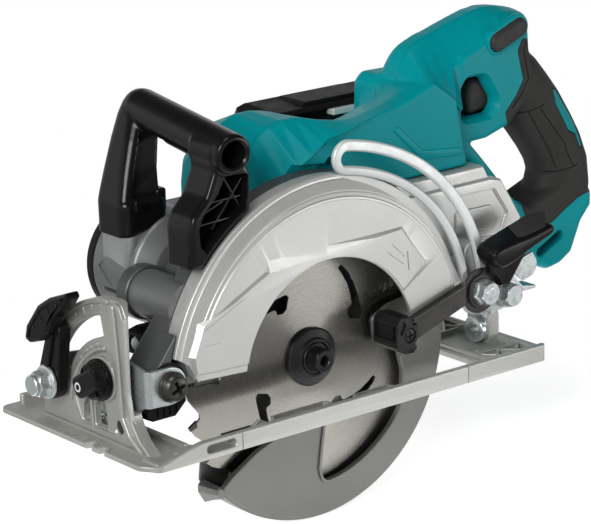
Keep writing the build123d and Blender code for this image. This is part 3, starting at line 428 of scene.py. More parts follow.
def piece(ob, name, mat, node=None, body=None, angle=34, also=()):
    """Name, shade, dress and hang a finished mesh on its body."""
    mend(ob)
    ob.name = name
    me = ob.data
    me.name = name
    me.materials.clear()
    me.materials.append(mat)
    for p in me.polygons:
        p.use_smooth = True
        p.material_index = 0
    if angle is not None:
        me.set_sharp_from_angle(angle=radians(angle))
        if angle < 38:
            w = ob.modifiers.new("wn", "WEIGHTED_NORMAL")
            w.mode, w.weight, w.keep_sharp = "FACE_AREA", 50, True
            bake(ob)
            ob.data.name = name
    body = body or BODY_OF[node]
    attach(ob, body)
    if node:
        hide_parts(node, *also)
    return ob


# ---------------------------------------------------------------------------
# materials
# ---------------------------------------------------------------------------
def material(name, base, rough=0.4, metal=0.0, tint=None, tone=0.10, tscale=35.0, rvar=0.10, rscale=120.0,
             bump=0.0, bscale=1500.0, detail=3.0, speck=0.0, coat=0.0, coat_rough=0.2, aniso=0.0, sheen=0.0, spec=0.5,
             stretch=(1, 1, 1), edge_wear_and_highlight=0.0, edge_wear_and_highlight_col=(0.8, 0.8, 0.8)):
    """Moulded, cast or plated surface: patchy tone, uneven gloss and a fine surface grain."""
    m = bpy.data.materials.new(name)
    m.use_nodes = True
    nt = m.node_tree
    nt.nodes.clear()
    N, L = nt.nodes.new, nt.links.new
    out = N("ShaderNodeOutputMaterial")
    bs = N("ShaderNodeBsdfPrincipled")
    L(bs.outputs[0], out.inputs[0])
    bs.inputs["Metallic"].default_value = metal
    bs.inputs["Specular IOR Level"].default_value = spec
    bs.inputs["Coat Weight"].default_value = coat
    bs.inputs["Coat Roughness"].default_value = coat_rough
    bs.inputs["Anisotropic"].default_value = aniso
    bs.inputs["Sheen Weight"].default_value = sheen
    tc = N("ShaderNodeTexCoord")
    mp = N("ShaderNodeMapping")
    mp.inputs["Scale"].default_value = stretch
    L(tc.outputs["Object"], mp.inputs["Vector"])
    n1 = N("ShaderNodeTexNoise")
    n1.inputs["Scale"].default_value = tscale
    n1.inputs["Detail"].default_value = 4.0
    L(mp.outputs[0], n1.inputs["Vector"])
    ramp = N("ShaderNodeValToRGB")
    tint = tint or tuple(c * 0.82 for c in base)
    ramp.color_ramp.elements[0].position = 0.30
    ramp.color_ramp.elements[1].position = 0.72
    lo = tuple(b + (t - b) * min(1.0, tone * 5) for b, t in zip(base, tint))
    ramp.color_ramp.elements[0].color = (*lo, 1)
    ramp.color_ramp.elements[1].color = (*base, 1)
    L(n1.outputs["Fac"], ramp.inputs["Fac"])
    col = ramp.outputs["Color"]
    if speck > 0:
        n3 = N("ShaderNodeTexNoise")
        n3.inputs["Scale"].default_value = bscale * 0.8
        n3.inputs["Detail"].default_value = 2.0
        L(mp.outputs[0], n3.inputs["Vector"])
        r3 = N("ShaderNodeValToRGB")
        r3.color_ramp.elements[0].position = 0.35
        r3.color_ramp.elements[1].position = 0.65
        r3.color_ramp.elements[0].color = (1 - speck, 1 - speck, 1 - speck, 1)
        r3.color_ramp.elements[1].color = (1, 1, 1, 1)
        L(n3.outputs["Fac"], r3.inputs["Fac"])
        mx = N("ShaderNodeMixRGB")
        mx.blend_type = "MULTIPLY"
        mx.inputs["Fac"].default_value = 1.0
        L(col, mx.inputs["Color1"])
        L(r3.outputs["Color"], mx.inputs["Color2"])
        col = mx.outputs["Color"]
    # convex edges (high pointiness) get a lighter base colour: a painted edge highlight, partly rubbed wear
    if edge_wear_and_highlight > 0:
        ge = N("ShaderNodeNewGeometry")
        rw = N("ShaderNodeValToRGB")
        rw.color_ramp.elements[0].position = 0.53
        rw.color_ramp.elements[1].position = 0.60
        rw.color_ramp.elements[0].color = (0, 0, 0, 1)
        rw.color_ramp.elements[1].color = (edge_wear_and_highlight, edge_wear_and_highlight, edge_wear_and_highlight, 1)
        L(ge.outputs["Pointiness"], rw.inputs["Fac"])
        mw = N("ShaderNodeMixRGB")
        mw.inputs["Color2"].default_value = (*edge_wear_and_highlight_col, 1)
        L(rw.outputs["Color"], mw.inputs["Fac"])
        L(col, mw.inputs["Color1"])
        col = mw.outputs["Color"]
    L(col, bs.inputs["Base Color"])
    n2 = N("ShaderNodeTexNoise")
    n2.inputs["Scale"].default_value = rscale
    n2.inputs["Detail"].default_value = 3.0
    L(mp.outputs[0], n2.inputs["Vector"])
    mr = N("ShaderNodeMapRange")
    mr.inputs["From Min"].default_value = 0.3
    mr.inputs["From Max"].default_value = 0.7
    mr.inputs["To Min"].default_value = max(0.03, rough - rvar / 2)
    mr.inputs["To Max"].default_value = min(1.0, rough + rvar / 2)
    L(n2.outputs["Fac"], mr.inputs["Value"])
    L(mr.outputs[0], bs.inputs["Roughness"])
    if bump > 0:
        nb = N("ShaderNodeTexNoise")
        nb.inputs["Scale"].default_value = bscale
        nb.inputs["Detail"].default_value = detail
        L(mp.outputs[0], nb.inputs["Vector"])
        bp = N("ShaderNodeBump")
        bp.inputs["Strength"].default_value = bump
        bp.inputs["Distance"].default_value = 0.0002
        L(nb.outputs["Fac"], bp.inputs["Height"])
        L(bp.outputs[0], bs.inputs["Normal"])
    return m


M = {
    "teal": material("teal_plastic", (0.0, 0.300, 0.335), rough=0.34, tint=(0.0, 0.262, 0.296), tone=0.06, rvar=0.06, bump=0.08, bscale=2600, spec=0.09),
    # darker copy of the teal plastic: painted shade for inner faces
    "teal_in": material("teal_painted_shade", (0.0, 0.10, 0.12), rough=0.5, tone=0.06, bump=0.08, bscale=2600),
    "grip": material("grip_rubber", (0.030, 0.030, 0.028), rough=0.58, tint=(0.042, 0.042, 0.040), tone=0.10, rvar=0.10, bump=0.30, bscale=3200, spec=0.16, sheen=0.0),
    "black": material("black_plastic", (0.005, 0.005, 0.005), rough=0.30, tint=(0.008, 0.008, 0.008), tone=0.10, rvar=0.08, bump=0.06, bscale=2400, spec=0.20),
    "black_tex": material("black_textured", (0.007, 0.007, 0.007), rough=0.46, tone=0.12, rvar=0.10, bump=0.25, bscale=2600, spec=0.14),
    "grey_btn": material("grey_plastic", (0.040, 0.040, 0.038), rough=0.50, tone=0.12, rvar=0.10, bump=0.22, bscale=2800, spec=0.20),
    "silver": material("case_paint", (0.63, 0.637, 0.615), rough=0.40, metal=0.58, tint=(0.53, 0.535, 0.52), tone=0.08, rvar=0.05, bump=0.05, bscale=3000, speck=0.05),
    # the cast finish lightens its convex edges: painted edge highlight, partly rubbed wear
    "cast": material("cast_alloy", (0.50, 0.507, 0.475), rough=0.42, metal=0.55, tint=(0.45, 0.456, 0.425), tone=0.10, rvar=0.12, bump=0.16, bscale=1400, speck=0.06, edge_wear_and_highlight=0.35, edge_wear_and_highlight_col=(0.72, 0.73, 0.70)),
    "dark_cast": material("dark_cast", (0.10, 0.105, 0.108), rough=0.42, metal=0.45, tint=(0.085, 0.09, 0.093), tone=0.10, rvar=0.10, bump=0.14, bscale=1800, speck=0.06),
    "grey_cast": material("grey_cast", (0.20, 0.205, 0.205), rough=0.40, metal=0.5, tint=(0.17, 0.175, 0.175), tone=0.10, rvar=0.10, bump=0.12, bscale=1800, speck=0.05),
    "zinc": material("zinc_plate", (0.64, 0.68, 0.68), rough=0.30, metal=0.8, tint=(0.60, 0.65, 0.66), tone=0.10, rvar=0.14, rscale=260, bump=0.06, bscale=2200),
    "guide": material("guide_zinc", (0.74, 0.77, 0.76), rough=0.42, metal=0.35, tint=(0.68, 0.72, 0.72), tone=0.10, rvar=0.12, rscale=200, bump=0.05, bscale=1800),
    "steel": material("dark_steel", (0.075, 0.073, 0.070), rough=0.34, metal=0.7, tint=(0.055, 0.053, 0.05), tone=0.14, rvar=0.14, bump=0.08, bscale=1800),
    "oxide": material("black_oxide", (0.022, 0.022, 0.022), rough=0.38, metal=0.5, tone=0.14, rvar=0.14, bump=0.10, bscale=1800),
    "guard": material("guard_grey", (0.185, 0.185, 0.176), rough=0.36, metal=0.65, tint=(0.165, 0.165, 0.157), tone=0.08, rvar=0.08, bump=0.05, bscale=2600, speck=0.04),
    "copper": material("winding", (0.55, 0.22, 0.10), rough=0.35, metal=0.9, tone=0.14, bump=0.3, bscale=900),
    "lens": material("lens", (0.75, 0.78, 0.80), rough=0.12, tone=0.10, rvar=0.04, bump=0.05, bscale=900, coat=0.5),
}
MAT_OF_SLOT = {"cast_base": "cast", "case_silver": "silver", "cast_dark": "dark_cast", "zinc": "zinc", "black_plastic": "black", "grey_plastic": "grey_btn",
               "dark_steel": "steel", "blade_steel": "silver", "guard_grey": "guard", "teal_plastic": "teal", "grip_rubber": "grip", "battery_black": "black_tex", "lens": "lens"}
SLOT_OF = {s["node"]: s["material_slot"] for s in frame["record"]["subparts"]}



def ground_disc(name, base, cx=0.0, cz=0.026, rough=0.30, aniso=0.75, scale=2600.0, bump=0.06, tone=0.10, metal=1.0):
    """Sheet steel ground on a turntable: circular scratches about an axis along Y, so the gloss runs in radial streaks."""
    m = bpy.data.materials.new(name)
    m.use_nodes = True
    nt = m.node_tree
    nt.nodes.clear()
    N, L = nt.nodes.new, nt.links.new
    out = N("ShaderNodeOutputMaterial")
    bs = N("ShaderNodeBsdfPrincipled")
    L(bs.outputs[0], out.inputs[0])
    bs.inputs["Metallic"].default_value = metal
    bs.inputs["Anisotropic"].default_value = aniso
    bs.inputs["Anisotropic Rotation"].default_value = 0.25
    tg = N("ShaderNodeTangent")
    tg.direction_type, tg.axis = "RADIAL", "Y"
    L(tg.outputs[0], bs.inputs["Tangent"])
    tc = N("ShaderNodeTexCoord")
    mp = N("ShaderNodeMapping")
    mp.inputs["Location"].default_value = (-cx, 0, -cz)
    L(tc.outputs["Object"], mp.inputs["Vector"])
    sx = N("ShaderNodeSeparateXYZ")
    L(mp.outputs[0], sx.inputs[0])
    cb = N("ShaderNodeCombineXYZ")
    L(sx.outputs["X"], cb.inputs["X"])
    L(sx.outputs["Z"], cb.inputs["Y"])
    ln = N("ShaderNodeVectorMath")
    ln.operation = "LENGTH"
    L(cb.outputs[0], ln.inputs[0])
    n1 = N("ShaderNodeTexNoise")
    n1.noise_dimensions = "1D"
    n1.inputs["Scale"].default_value = scale
    n1.inputs["Detail"].default_value = 4.0
    L(ln.outputs["Value"], n1.inputs["W"])
    rc = N("ShaderNodeValToRGB")
    rc.color_ramp.elements[0].position, rc.color_ramp.elements[1].position = 0.3, 0.7
    rc.color_ramp.elements[0].color = (*[c * (1 - tone) for c in base], 1)
    rc.color_ramp.elements[1].color = (*base, 1)
    L(n1.outputs["Fac"], rc.inputs["Fac"])
    n2 = N("ShaderNodeTexNoise")
    n2.inputs["Scale"].default_value = 60.0
    n2.inputs["Detail"].default_value = 4.0
    L(mp.outputs[0], n2.inputs["Vector"])
    r2 = N("ShaderNodeValToRGB")
    r2.color_ramp.elements[0].position, r2.color_ramp.elements[1].position = 0.3, 0.7
    r2.color_ramp.elements[0].color, r2.color_ramp.elements[1].color = (0.93, 0.925, 0.91, 1), (1, 1, 1, 1)
    L(n2.outputs["Fac"], r2.inputs["Fac"])
    mx = N("ShaderNodeMixRGB")
    mx.blend_type = "MULTIPLY"
    mx.inputs["Fac"].default_value = 1.0
    L(rc.outputs["Color"], mx.inputs["Color1"])
    L(r2.outputs["Color"], mx.inputs["Color2"])
    L(mx.outputs["Color"], bs.inputs["Base Color"])
    mr = N("ShaderNodeMapRange")
    mr.inputs["From Min"].default_value, mr.inputs["From Max"].default_value = 0.3, 0.7
    mr.inputs["To Min"].default_value, mr.inputs["To Max"].default_value = rough - 0.05, rough + 0.05
    L(n1.outputs["Fac"], mr.inputs["Value"])
    L(mr.outputs[0], bs.inputs["Roughness"])
    bp = N("ShaderNodeBump")
    bp.inputs["Strength"].default_value = bump
    bp.inputs["Distance"].default_value = 0.0001
    L(n1.outputs["Fac"], bp.inputs["Height"])
    L(bp.outputs[0], bs.inputs["Normal"])
    return m


M["blade"] = ground_disc("blade_steel", (0.35, 0.340, 0.315), rough=0.27, aniso=0.88)
# the boss finish lightens its convex edges: painted edge highlight, partly rubbed wear
M["boss_cast"] = material("boss_cast", (0.42, 0.43, 0.43), rough=0.33, metal=0.7, tint=(0.37, 0.38, 0.38), tone=0.10, rvar=0.10, bump=0.10, bscale=1800, speck=0.05, edge_wear_and_highlight=0.3, edge_wear_and_highlight_col=(0.68, 0.69, 0.69))
M["black_gloss"] = material("black_gloss", (0.006, 0.006, 0.0065), rough=0.20, tint=(0.005, 0.005, 0.0055), tone=0.10, rvar=0.06, bump=0.03, bscale=900, spec=0.26)
# ---------------------------------------------------------------------------
# blade case, gear housing, lower guard, blade
# ---------------------------------------------------------------------------
AZC = 26.0                      # arbor height
LX, LZ, MX, MZ = -26.8, 52.2, -53.5, 78.5


def pol(r, a):
    return (r * cos(radians(a)), AZC + r * sin(radians(a)))


def lathe_prof(pts, n=4):
    return [(p.x, p.y) for p in dedupe(rp(pts, 0, n))]


# light metal drum: flat face with a fine ridge, sloped shoulder with a double line, thick lip
ug = lathe(lathe_prof([(65.0, -22.9, 0.8), (100.0, -22.9, 0.2), (100.4, -23.25, 0.3), (101.6, -23.2, 0.4), (102.2, -22.5, 0.3), (104.2, -21.9, 0.3), (104.5, -21.4, 0.15),
                       (105.1, -21.2, 0.15), (105.5, -21.35, 0.3), (111.4, -18.9, 1.0), (112.0, -18.35, 0.3), (113.2, -18.3, 0.3), (115.4, -17.5, 1.0), (115.4, -14.9, 0.8), (113.2, -13.8, 0.4), (113.2, -4.0), (102.0, -4.0),
                       (102.0, -18.6, 1.0), (100.0, -20.6, 0.6), (65.0, -20.6, 0.4)]), seg=288)
keep = prism(P2([(-140, 48.0), (-104.5, 48.0), (-100.5, 38.0), (-62, 36.0), (-30, 30), (30, 30), (62, 45.0), (101.0, 52.5), (140, 53.5), (140, 170), (-140, 170)]), XZ, -30, 20)
common(ug, keep)
ENV = [(88, 116.6), (83, 112.0), (73, 109.3), (64, 107.0), (55, 105.3), (45, 104.6), (34, 105.1), (24, 107.2), (13, 111.0), (4, 113.0), (-8, 116.6)]
env_o = spline([Vector(pol(r, a)) for a, r in ENV], 8, closed=False) + P2([(170, 0), (170, 170), (20, 180)])
# raised field round the opening, with a wide slope along its top, and the thick label pad at the front
pads = [((-101.0, 42.6), (-103.0, 39.0), -20.2), ((-102.4, 52.5), (-105.0, 52.8), -20.0), ((-95.2, 70.2), (-97.9, 71.6), -20.2), ((-84.5, 75.0), (-86.2, 77.2), -21.0),
        ((-73.0, 79.5), (-73.9, 81.2), -22.8), ((-47.6, 91.8), (-49.2, 93.4), -22.84), ((-46.6, 92.3), (-47.9, 99.6), -22.84), ((-4.0, 95.0), (-4.0, 100.1), -22.84), ((34.7, 97.7), (34.7, 100.2), -22.84),
        ((54.4, 99.0), (55.9, 100.6), -22.84), ((72.0, 76.6), (76.6, 75.6), -22.84), ((71.6, 74.9), (76.5, 72.6), -22.84), ((66.4, 69.4), (68.1, 67.2), -22.84), ((40, 50), (40, 49), -22.84),
        ((-40, 44), (-40, 43), -22.84), ((-64.4, 41.2), (-65.0, 36.9), -20.8)]
fld = rings_mesh([[(b[0], -19.9 if y > -22 else -21.8, b[1]) for t, b, y in pads],
                  [(b[0], y, b[1]) for t, b, y in pads], [(t[0], -24.0, t[1]) for t, b, y in pads]])
fld = bevelled(fld, 0.3, 2, 20)
cut(fld, lathe([(0.01, -40), (65.9, -40), (65.9, -10), (0.01, -10)], seg=192))
common(fld, prism(P2([(-140, 38.6), (-60, 36.4), (140, 36), (140, 170), (-140, 170)]), XZ, -40, 0))
add(ug, fld)
cut(ug, prism(circ(-117, 38, 15.3, 72), XZ, -30, -3), prism(env_o, XZ, -26.0, -11.8))
for a_, b_, w_ in (((46.9, 90.9), (56.3, 82.2), 0.42), ((59.1, 84.2), (60.1, 72.8), 0.42), ((70.2, 68.6), (76.0, 72.0), 0.3), ((43.5, 86.6), (55.6, 77.4), 0.22)):
    cut(ug, prism(slot2(a_, b_, w_, 4), XZ, -25, -23.45))
# thin rule lines on the label pad
for a_, b_ in (((-98.5, 66.0), (-66.0, 80.5)), ((-95.5, 58.2), (-84.0, 58.0))):
    cut(ug, prism(slot2(a_, b_, 0.2, 3), XZ, -25, -23.75))
piece(ug, "blade_case", M["silver"], "upper_guard", angle=24)

# dark cast shell behind it, with the gear case and the pivot ear
gh = lathe(lathe_prof([(113.0, -4.0), (113.0, 8.0, 3.0), (109.6, 12.2, 2.6), (27.0, 12.2), (27.0, 9.6), (104.0, 9.6), (104.0, -4.0)]), seg=256)
common(gh, prism(P2([(-140, 50.0), (-100, 46.0), (-70, 40.0), (-36, 14.0), (-24, 6), (24, 6), (40, 30), (70, 46.0), (140, 54.0), (140, 170), (-140, 170)]), XZ, -30, 60))
g1 = prism(hull2((0, AZC), 22.5, (LX, LZ), 34.5, 28), XZ, 11.6, 46.0, 0, 2.5)
g2 = prism(hull2((LX, LZ), 34.5, (MX, MZ), 20.0, 28), XZ, 11.6, 46.0, 0, 2.5)
add(gh, g1, g2, lathe([(13.0, 6.6), (24.0, 6.6), (24.0, 12.8), (13.0, 12.8)], seg=96))
ear = prism(hull2((-117, 38), 11.6, (-92.0, 62.0), 16.0, 28), XZ, -15.6, 12.2, 1.6, 1.6)
cut(ear, lathe([(0.01, -30), (104.0, -30), (104.0, 9.6), (0.01, 9.6)], seg=192))
cut(ear, common(lathe([(0.01, -30), (116.5, -30), (116.5, -3.9), (0.01, -3.9)], seg=192), prism(P2([(-140, 47.9), (-60, 47.9), (-60, 140), (-140, 140)]), XZ, -40, 0)))
add(gh, ear)
cut(gh, prism(circ(-117, 38, 5.05), XZ, -20, 20))
cut(gh, prism(circ(0, AZC, 13.0, 64), XZ, 5, 15.1))
# screw bosses on the motor side of the gear case
for bx_, bz_ in ((-4, 52), (17, 14), (-58, 48), (-30, 88)):
    add(gh, prism(circ(bx_, bz_, 4.4, 32), XZ, 30.0, 45.2, 0, 0.8))
    cut(gh, prism(circ(bx_, bz_, 1.6, 24), XZ, 42.0, 47))
cut(gh, prism(circ(7.5, 39.5, 4.05, 40), XZ, 38.2, 47.5))
piece(gh, "gear_housing_shell", M["dark_cast"], "gear_housing", angle=32)

# sprung guard: near wall with its curved opening and rolled edges, far wall, rim and blunt nose
near_o = rp([(-92, -60, 0), (-76.3, -42.2, 4), (-71.8, -37.0, 8), (-66.6, -32.9, 12), (-57.8, -27.7, 14), (-47.5, -21.8, 14), (-35.7, -17.6, 14), (-22, -13.4, 14), (-5, -9.8, 6), (6.4, -13.0, 5), (1.4, -44.0, 8), (3.6, -53.6, 5.0)]
            + [(p.x, p.y, 0) for p in arc(0, AZC, 79.6, -80, -36, 30)]
            + [(66.8, -14.0, 14), (67.6, 4.0, 14), (64.0, 17.0, 10), (57, 24, 8), (46, 26.2, 3), (44, 42, 4), (58, 48, 6), (73, 50, 4), (93, 66, 0), (130, 70, 0), (170, 0, 0), (140, -120, 0), (0, -160, 0), (-120, -120, 0)], 0, 6)
lg = common(prism(near_o, XZ, -7.6, -5.0, 1.0, 0.3, 4), lathe([(18, -20), (100.6, -20), (100.6, 20), (18, 20)], seg=256))
# rolled edge along the opening and the front of the near wall
no_ = ccw(near_o)
roll = common(cut(prism(no_, XZ, -8.7, -7.0, 0.75, 0, 4), prism(offset(no_, -2.2), XZ, -9.5, -6.3, 0, 0)),
              lathe([(18, -20), (99.0, -20), (99.0, 20), (18, 20)], seg=256))
roll = common(roll, prism(P2([(-90, -60), (-90, -8), (-20, -8), (8, 10), (62, 14), (90, 10), (90, -80)]), XZ, -12, 0))
add(lg, roll)
rim = lathe(lathe_prof([(97.6, -5.2, 0.3), (98.4, -7.62, 0.4), (99.6, -7.7, 0.5), (100.95, -6.6, 0.9), (100.95, 8.4, 0.5), (99.2, 8.6, 0.3), (99.2, -5.2, 0.3)]), seg=256)
rim_k = lambda a0, a1: prism(P2([(0, AZC), pol(160, a0), pol(170, -120), pol(170, -90), pol(170, -45), pol(170, 0), pol(160, a1)]), XZ, -20, 30)
common(rim, rim_k(-139.2, 24))
far_o = rp([pol(20, 60), pol(30, 100), pol(30, 150), (-36, 18), (-76.0, -8, 6), (-79.6, -38), (-120, -72), pol(170, -120), pol(170, -90), pol(170, -45), pol(170, 0), pol(160, 20)], 0)
far = common(prism(far_o, XZ, 7.1, 8.6, 0.2, 0.2), lathe([(24.05, -20), (100.6, -20), (100.6, 20), (24.05, 20)], seg=256))
hub = lathe([(24.05, 7.1), (29.0, 7.1), (29.0, 9.3), (24.05, 9.3)], seg=96)
add(lg, rim, far, hub)
# blunt nose: the rim thickens to a rounded bar across the front end
nose = rings_mesh([[(x, y, z) for x, z in o] for y, o in (
    (-8.6, [(-74.2, -39.2), (-75.6, -38.0), (-77.4, -39.0), (-77.9, -41.2), (-76.5, -43.2), (-73.6, -44.6), (-71.0, -42.7)]),
    (-7.6, [(-73.6, -38.8), (-75.7, -37.0), (-78.2, -38.5), (-78.7, -41.4), (-76.9, -43.9), (-73.4, -45.6), (-70.4, -43.0)]),
    (0.0, [(-73.9, -38.0), (-76.6, -36.0), (-79.6, -38.5), (-79.9, -42.2), (-76.6, -47.4), (-73.0, -48.0), (-70.0, -43.9)]),
    (7.6, [(-74.2, -37.4), (-77.4, -35.2), (-80.6, -38.6), (-80.6, -43.0), (-75.8, -50.8), (-72.6, -50.2), (-69.6, -44.7)]),
    (8.43, [(-74.6, -37.9), (-77.2, -36.2), (-79.8, -39.0), (-79.8, -42.8), (-75.6, -49.8), (-73.0, -49.2), (-70.2, -44.4)]))])
add(lg, nose)
piece(lg, "lower_guard_shell", M["guard"], "lower_guard", angle=30)

# blade: hooked slots, keyholes, carbide tips
NT = 24
tp = []
for i in range(NT):
    st, a = 2 * pi / NT, 2 * pi * i / NT
    for r, f in ((93.9, 0.03), (93.4, 0.14), (92.2, 0.30), (89.3, 0.50), (86.6, 0.68), (85.4, 0.80), (85.8, 0.90), (87.6, 0.955), (91.2, 0.985)):
        tp.append(Vector((r * cos(a + st * f), AZC + r * sin(a + st * f))))
bl = prism(tp, XZ, -0.8, 0.8, 0.12, 0.12, 1)
rot2 = lambda p, a: (p[0] * cos(radians(a)) - p[1] * sin(radians(a)), AZC + p[0] * sin(radians(a)) + p[1] * cos(radians(a)))
cutters = [hole(circ(0, AZC, 6.05, 48), XZ, -0.8, 0.8, 0.2)]
hook = [(23.4, 50.3), (25.5, 52.0), (27.6, 50.9), (31.7, 46.3), (35.8, 38.7), (39.3, 29.5), (41.3, 20.6), (41.8, 16.6), (40.1, 14.8), (32.7, 16.6), (30.4, 19.6), (30.5, 23.8), (33.2, 24.8), (33.9, 26.4), (33.0, 31.7), (30.5, 39.4), (26.6, 46.0)]
for i in range(4):
    a = 90 * i
    key = [rot2(p, a) for p in ((89, -0.55), (73.6, -0.55), (72.9, -1.5), (71.3, -2.5), (69.3, -2.5), (67.7, -1.2), (67.4, 0), (67.7, 1.2), (69.3, 2.5), (71.3, 2.5), (72.9, 1.5), (73.6, 0.55), (89, 0.55))]
    cutters.append(prism(rp(key, 0.5, 3), XZ, -3, 3))
    cutters.append(prism(rp([rot2(p, a) for p in hook], 1.1, 4), XZ, -3, 3))
cut(bl, *cutters)
piece(bl, "blade_disc", M["blade"], "saw_blade", angle=30)
tips = []
for i in range(NT):
    a = 360.0 * i / NT
    o = [rot2(p, a) for p in ((88.4, -1.9), (94.9, -0.05), (94.3, 2.5), (89.2, 2.3))]
    tips.append(prism(P2(o), XZ, -0.98, 0.98, 0.15, 0.15, 1))
piece(join(tips), "blade_tips", M["steel"], body="arbor", angle=30)
# flange: thick rim, cone, raised hub
fl = lathe(lathe_prof([(3.1, -0.85), (17.4, -0.85, 0.3), (18.2, -1.3, 0.4), (18.2, -3.7, 0.5), (17.2, -4.5, 0.6), (12.6, -5.9, 0.5), (12.4, -6.9, 0.35), (11.5, -7.5, 0.5), (10.2, -7.5, 0.3), (10.2, -6.0), (3.1, -6.0)]), seg=96)
piece(fl, "clamp_flange", M["oxide"], "outer_flange", angle=30)
hexo = lambda y, z, af, rot=0: [Vector((y + af / 2 / cos(pi / 6) * cos(radians(rot + 60 * k)), z + af / 2 / cos(pi / 6) * sin(radians(rot + 60 * k)))) for k in range(6)]


def hex_head(c, af, y0, y1, rot, ax="Y", top=None):
    """Hexagon with its corners turned off in a cone at the face y0 (and y1 where it is a nut)."""
    pl = XZ if ax == "Y" else YZ
    h = prism(hexo(c[0], c[1], af, rot), pl, y0, y1)
    R = af / 2 / cos(pi / 6)
    lo = (0.86 * R, y0), (1.04 * R, y0 + 0.115 * af), (1.04 * R, y1), (0.01, y1), (0.01, y0)
    if top:
        lo = (0.86 * R, y0), (1.04 * R, y0 + 0.115 * af), (1.04 * R, y1 - 0.115 * af), (0.86 * R, y1), (0.01, y1), (0.01, y0)
    return common(h, lathe([Vector(p) for p in lo], c, ax, 72))


bb = lathe(lathe_prof([(0.01, 17.5), (3.0, 17.5), (3.0, -6.0), (9.6, -6.1, 0.2), (9.6, -7.1, 0.4), (9.0, -7.7, 0.4), (0.01, -7.7)]), seg=72)
add(bb, hex_head((0, AZC), 13.0, -15.6, -7.4, 15))
cut(bb, prism(hexo(0, AZC, 6.0, 15), XZ, -17, -11.0), lathe([(0.01, -16.6), (4.6, -16.6), (3.4, -14.9), (0.01, -14.9)], seg=48))
piece(bb, "blade_bolt_head", M["oxide"], "blade_bolt", angle=30)

# ---------------------------------------------------------------------------
# cast base: deck, left rail with the rule slot, rear deck with its lattice
# ---------------------------------------------------------------------------
deck = prism(rp([(-154, 106, 6), (-154, -36, 9), (-146, -47.4, 7), (151, -47.4, 3), (155, -43, 3), (155, 100, 5), (149, 106, 5)], 0, 7), XY, 0, 3.2, 0.5, 0.9)
rail = prism(rp([(-149.0, 0), (-149.0, 3.0, 0.6), (-143.5, 4.4, 6), (-126, 9.3, 14), (-117, 11.0, 8), (153.0, 11.0, 2.2), (154.4, 8.0, 1), (154.4, 0)], 0, 6), XZ, -47.4, -43.4, 1.0, 0.7, 4)
common(rail, prism(rp([(-156, -30), (-154, -36, 9), (-146, -47.4, 7), (151, -47.4, 3), (155, -43, 3), (155, -30)], 0, 7), XY, -1, 14))
add(deck, rail, blk(-147, 111, -44.2, -29.5, 0.4, 4.4, 0.6, 1.0), blk(112.5, 154, -44.4, 104, 0.4, 4.6, 0.6, 1.0))
# rear rim, right rim, rim beside the slot, front cross rib
add(deck, blk(149.2, 154.6, -45.0, 103.5, 2.0, 8.4, 1.6, 2.4), blk(-140, 148, 101.6, 105.9, 1.0, 8.0, 1.2, 2.0), blk(-111, 113, 51.8, 55.2, 2.0, 7.0, 0.8, 1.0),
    blk(-116.6, -113.4, -30, 100, 2.0, 5.4, 0.8, 1.2), blk(-142.5, -133.5, -34, 78, 1.0, 4.6, 0.5, 1.0), blk(-133.8, -122.5, 28, 66, 1.0, 4.6, 0.5, 1.0))
cut(deck, prism(rp([(-108, -29.5, 3), (108, -29.5, 3), (112, -25, 3), (112, 45, 4), (104, 50, 4), (-104, 50, 4), (-112, 45, 4), (-112, -25, 3)], 0), XY, -2, 20))
cut(deck, prism(rp([(32, -25), (34, -29.6, 1), (41.5, -37.2, 4), (108, -37.2, 3), (112.2, -33, 3), (112.2, -20)], 0), XY, -2, 20))
# raised loops on the rail's inner shelf
def loop_rib(pts, z0, z1, w=1.7, r=2.0):
    o = rp(pts, r, 5)
    ring_ = prism(o, XY, z0, z1, 0, 0.6)
    return cut(ring_, prism(offset(ccw(dedupe(o)), -w), XY, z0 - 1, z1 + 1))


add(deck, loop_rib([(-62.5, -43.6), (-19, -43.6), (-15.5, -39.5), (-19, -35.0), (-58, -35.0)], 3.6, 10.4),
    loop_rib([(0.5, -43.6), (29, -43.6), (34.5, -40.2), (30, -36.0), (3.5, -36.0)], 3.6, 9.6),
    loop_rib([(-110, -36.2), (-70, -36.2), (-66.5, -33.4), (-70, -30.6), (-110, -30.6)], 3.6, 6.6, 1.4, 1.2))
for y0, y1, pts in ((-37.4, -35.0, [(-76.5, 3.8), (-74.5, 6.6, 1), (-67.6, 10.8, 1.2), (-57.5, 5.8, 1), (-56.5, 3.8)]), (-43.6, -38.6, [(-70.5, 3.8), (-69.4, 9.6, 0.8), (-66.0, 9.6, 0.8), (-65.0, 3.8)])):
    add(deck, prism(rp(pts, 0), XZ, y0, y1, 0.5))
add(deck, blk(36.5, 110, -39.4, -37.3, 0.4, 7.0, 0.6, 0.8))
for xr in (-36, 18, 47, 62, 77, 92):
    z1 = 8.4 if xr < 30 else 6.8
    add(deck, blk(xr - 0.9, xr + 0.9, -44.0, -35.6 if xr < 30 else -37.6, 3.6, z1, 0.5, 0.3))
for xr, yr in ((70, -41.3), (101, -41.3), (-8, -38.5), (-128, -39)):
    add(deck, lathe(lathe_prof([(0.01, 3.0), (2.6, 3.0), (2.3, 6.2, 0.5), (0.01, 6.2)]), (xr, yr), "Z", 32))
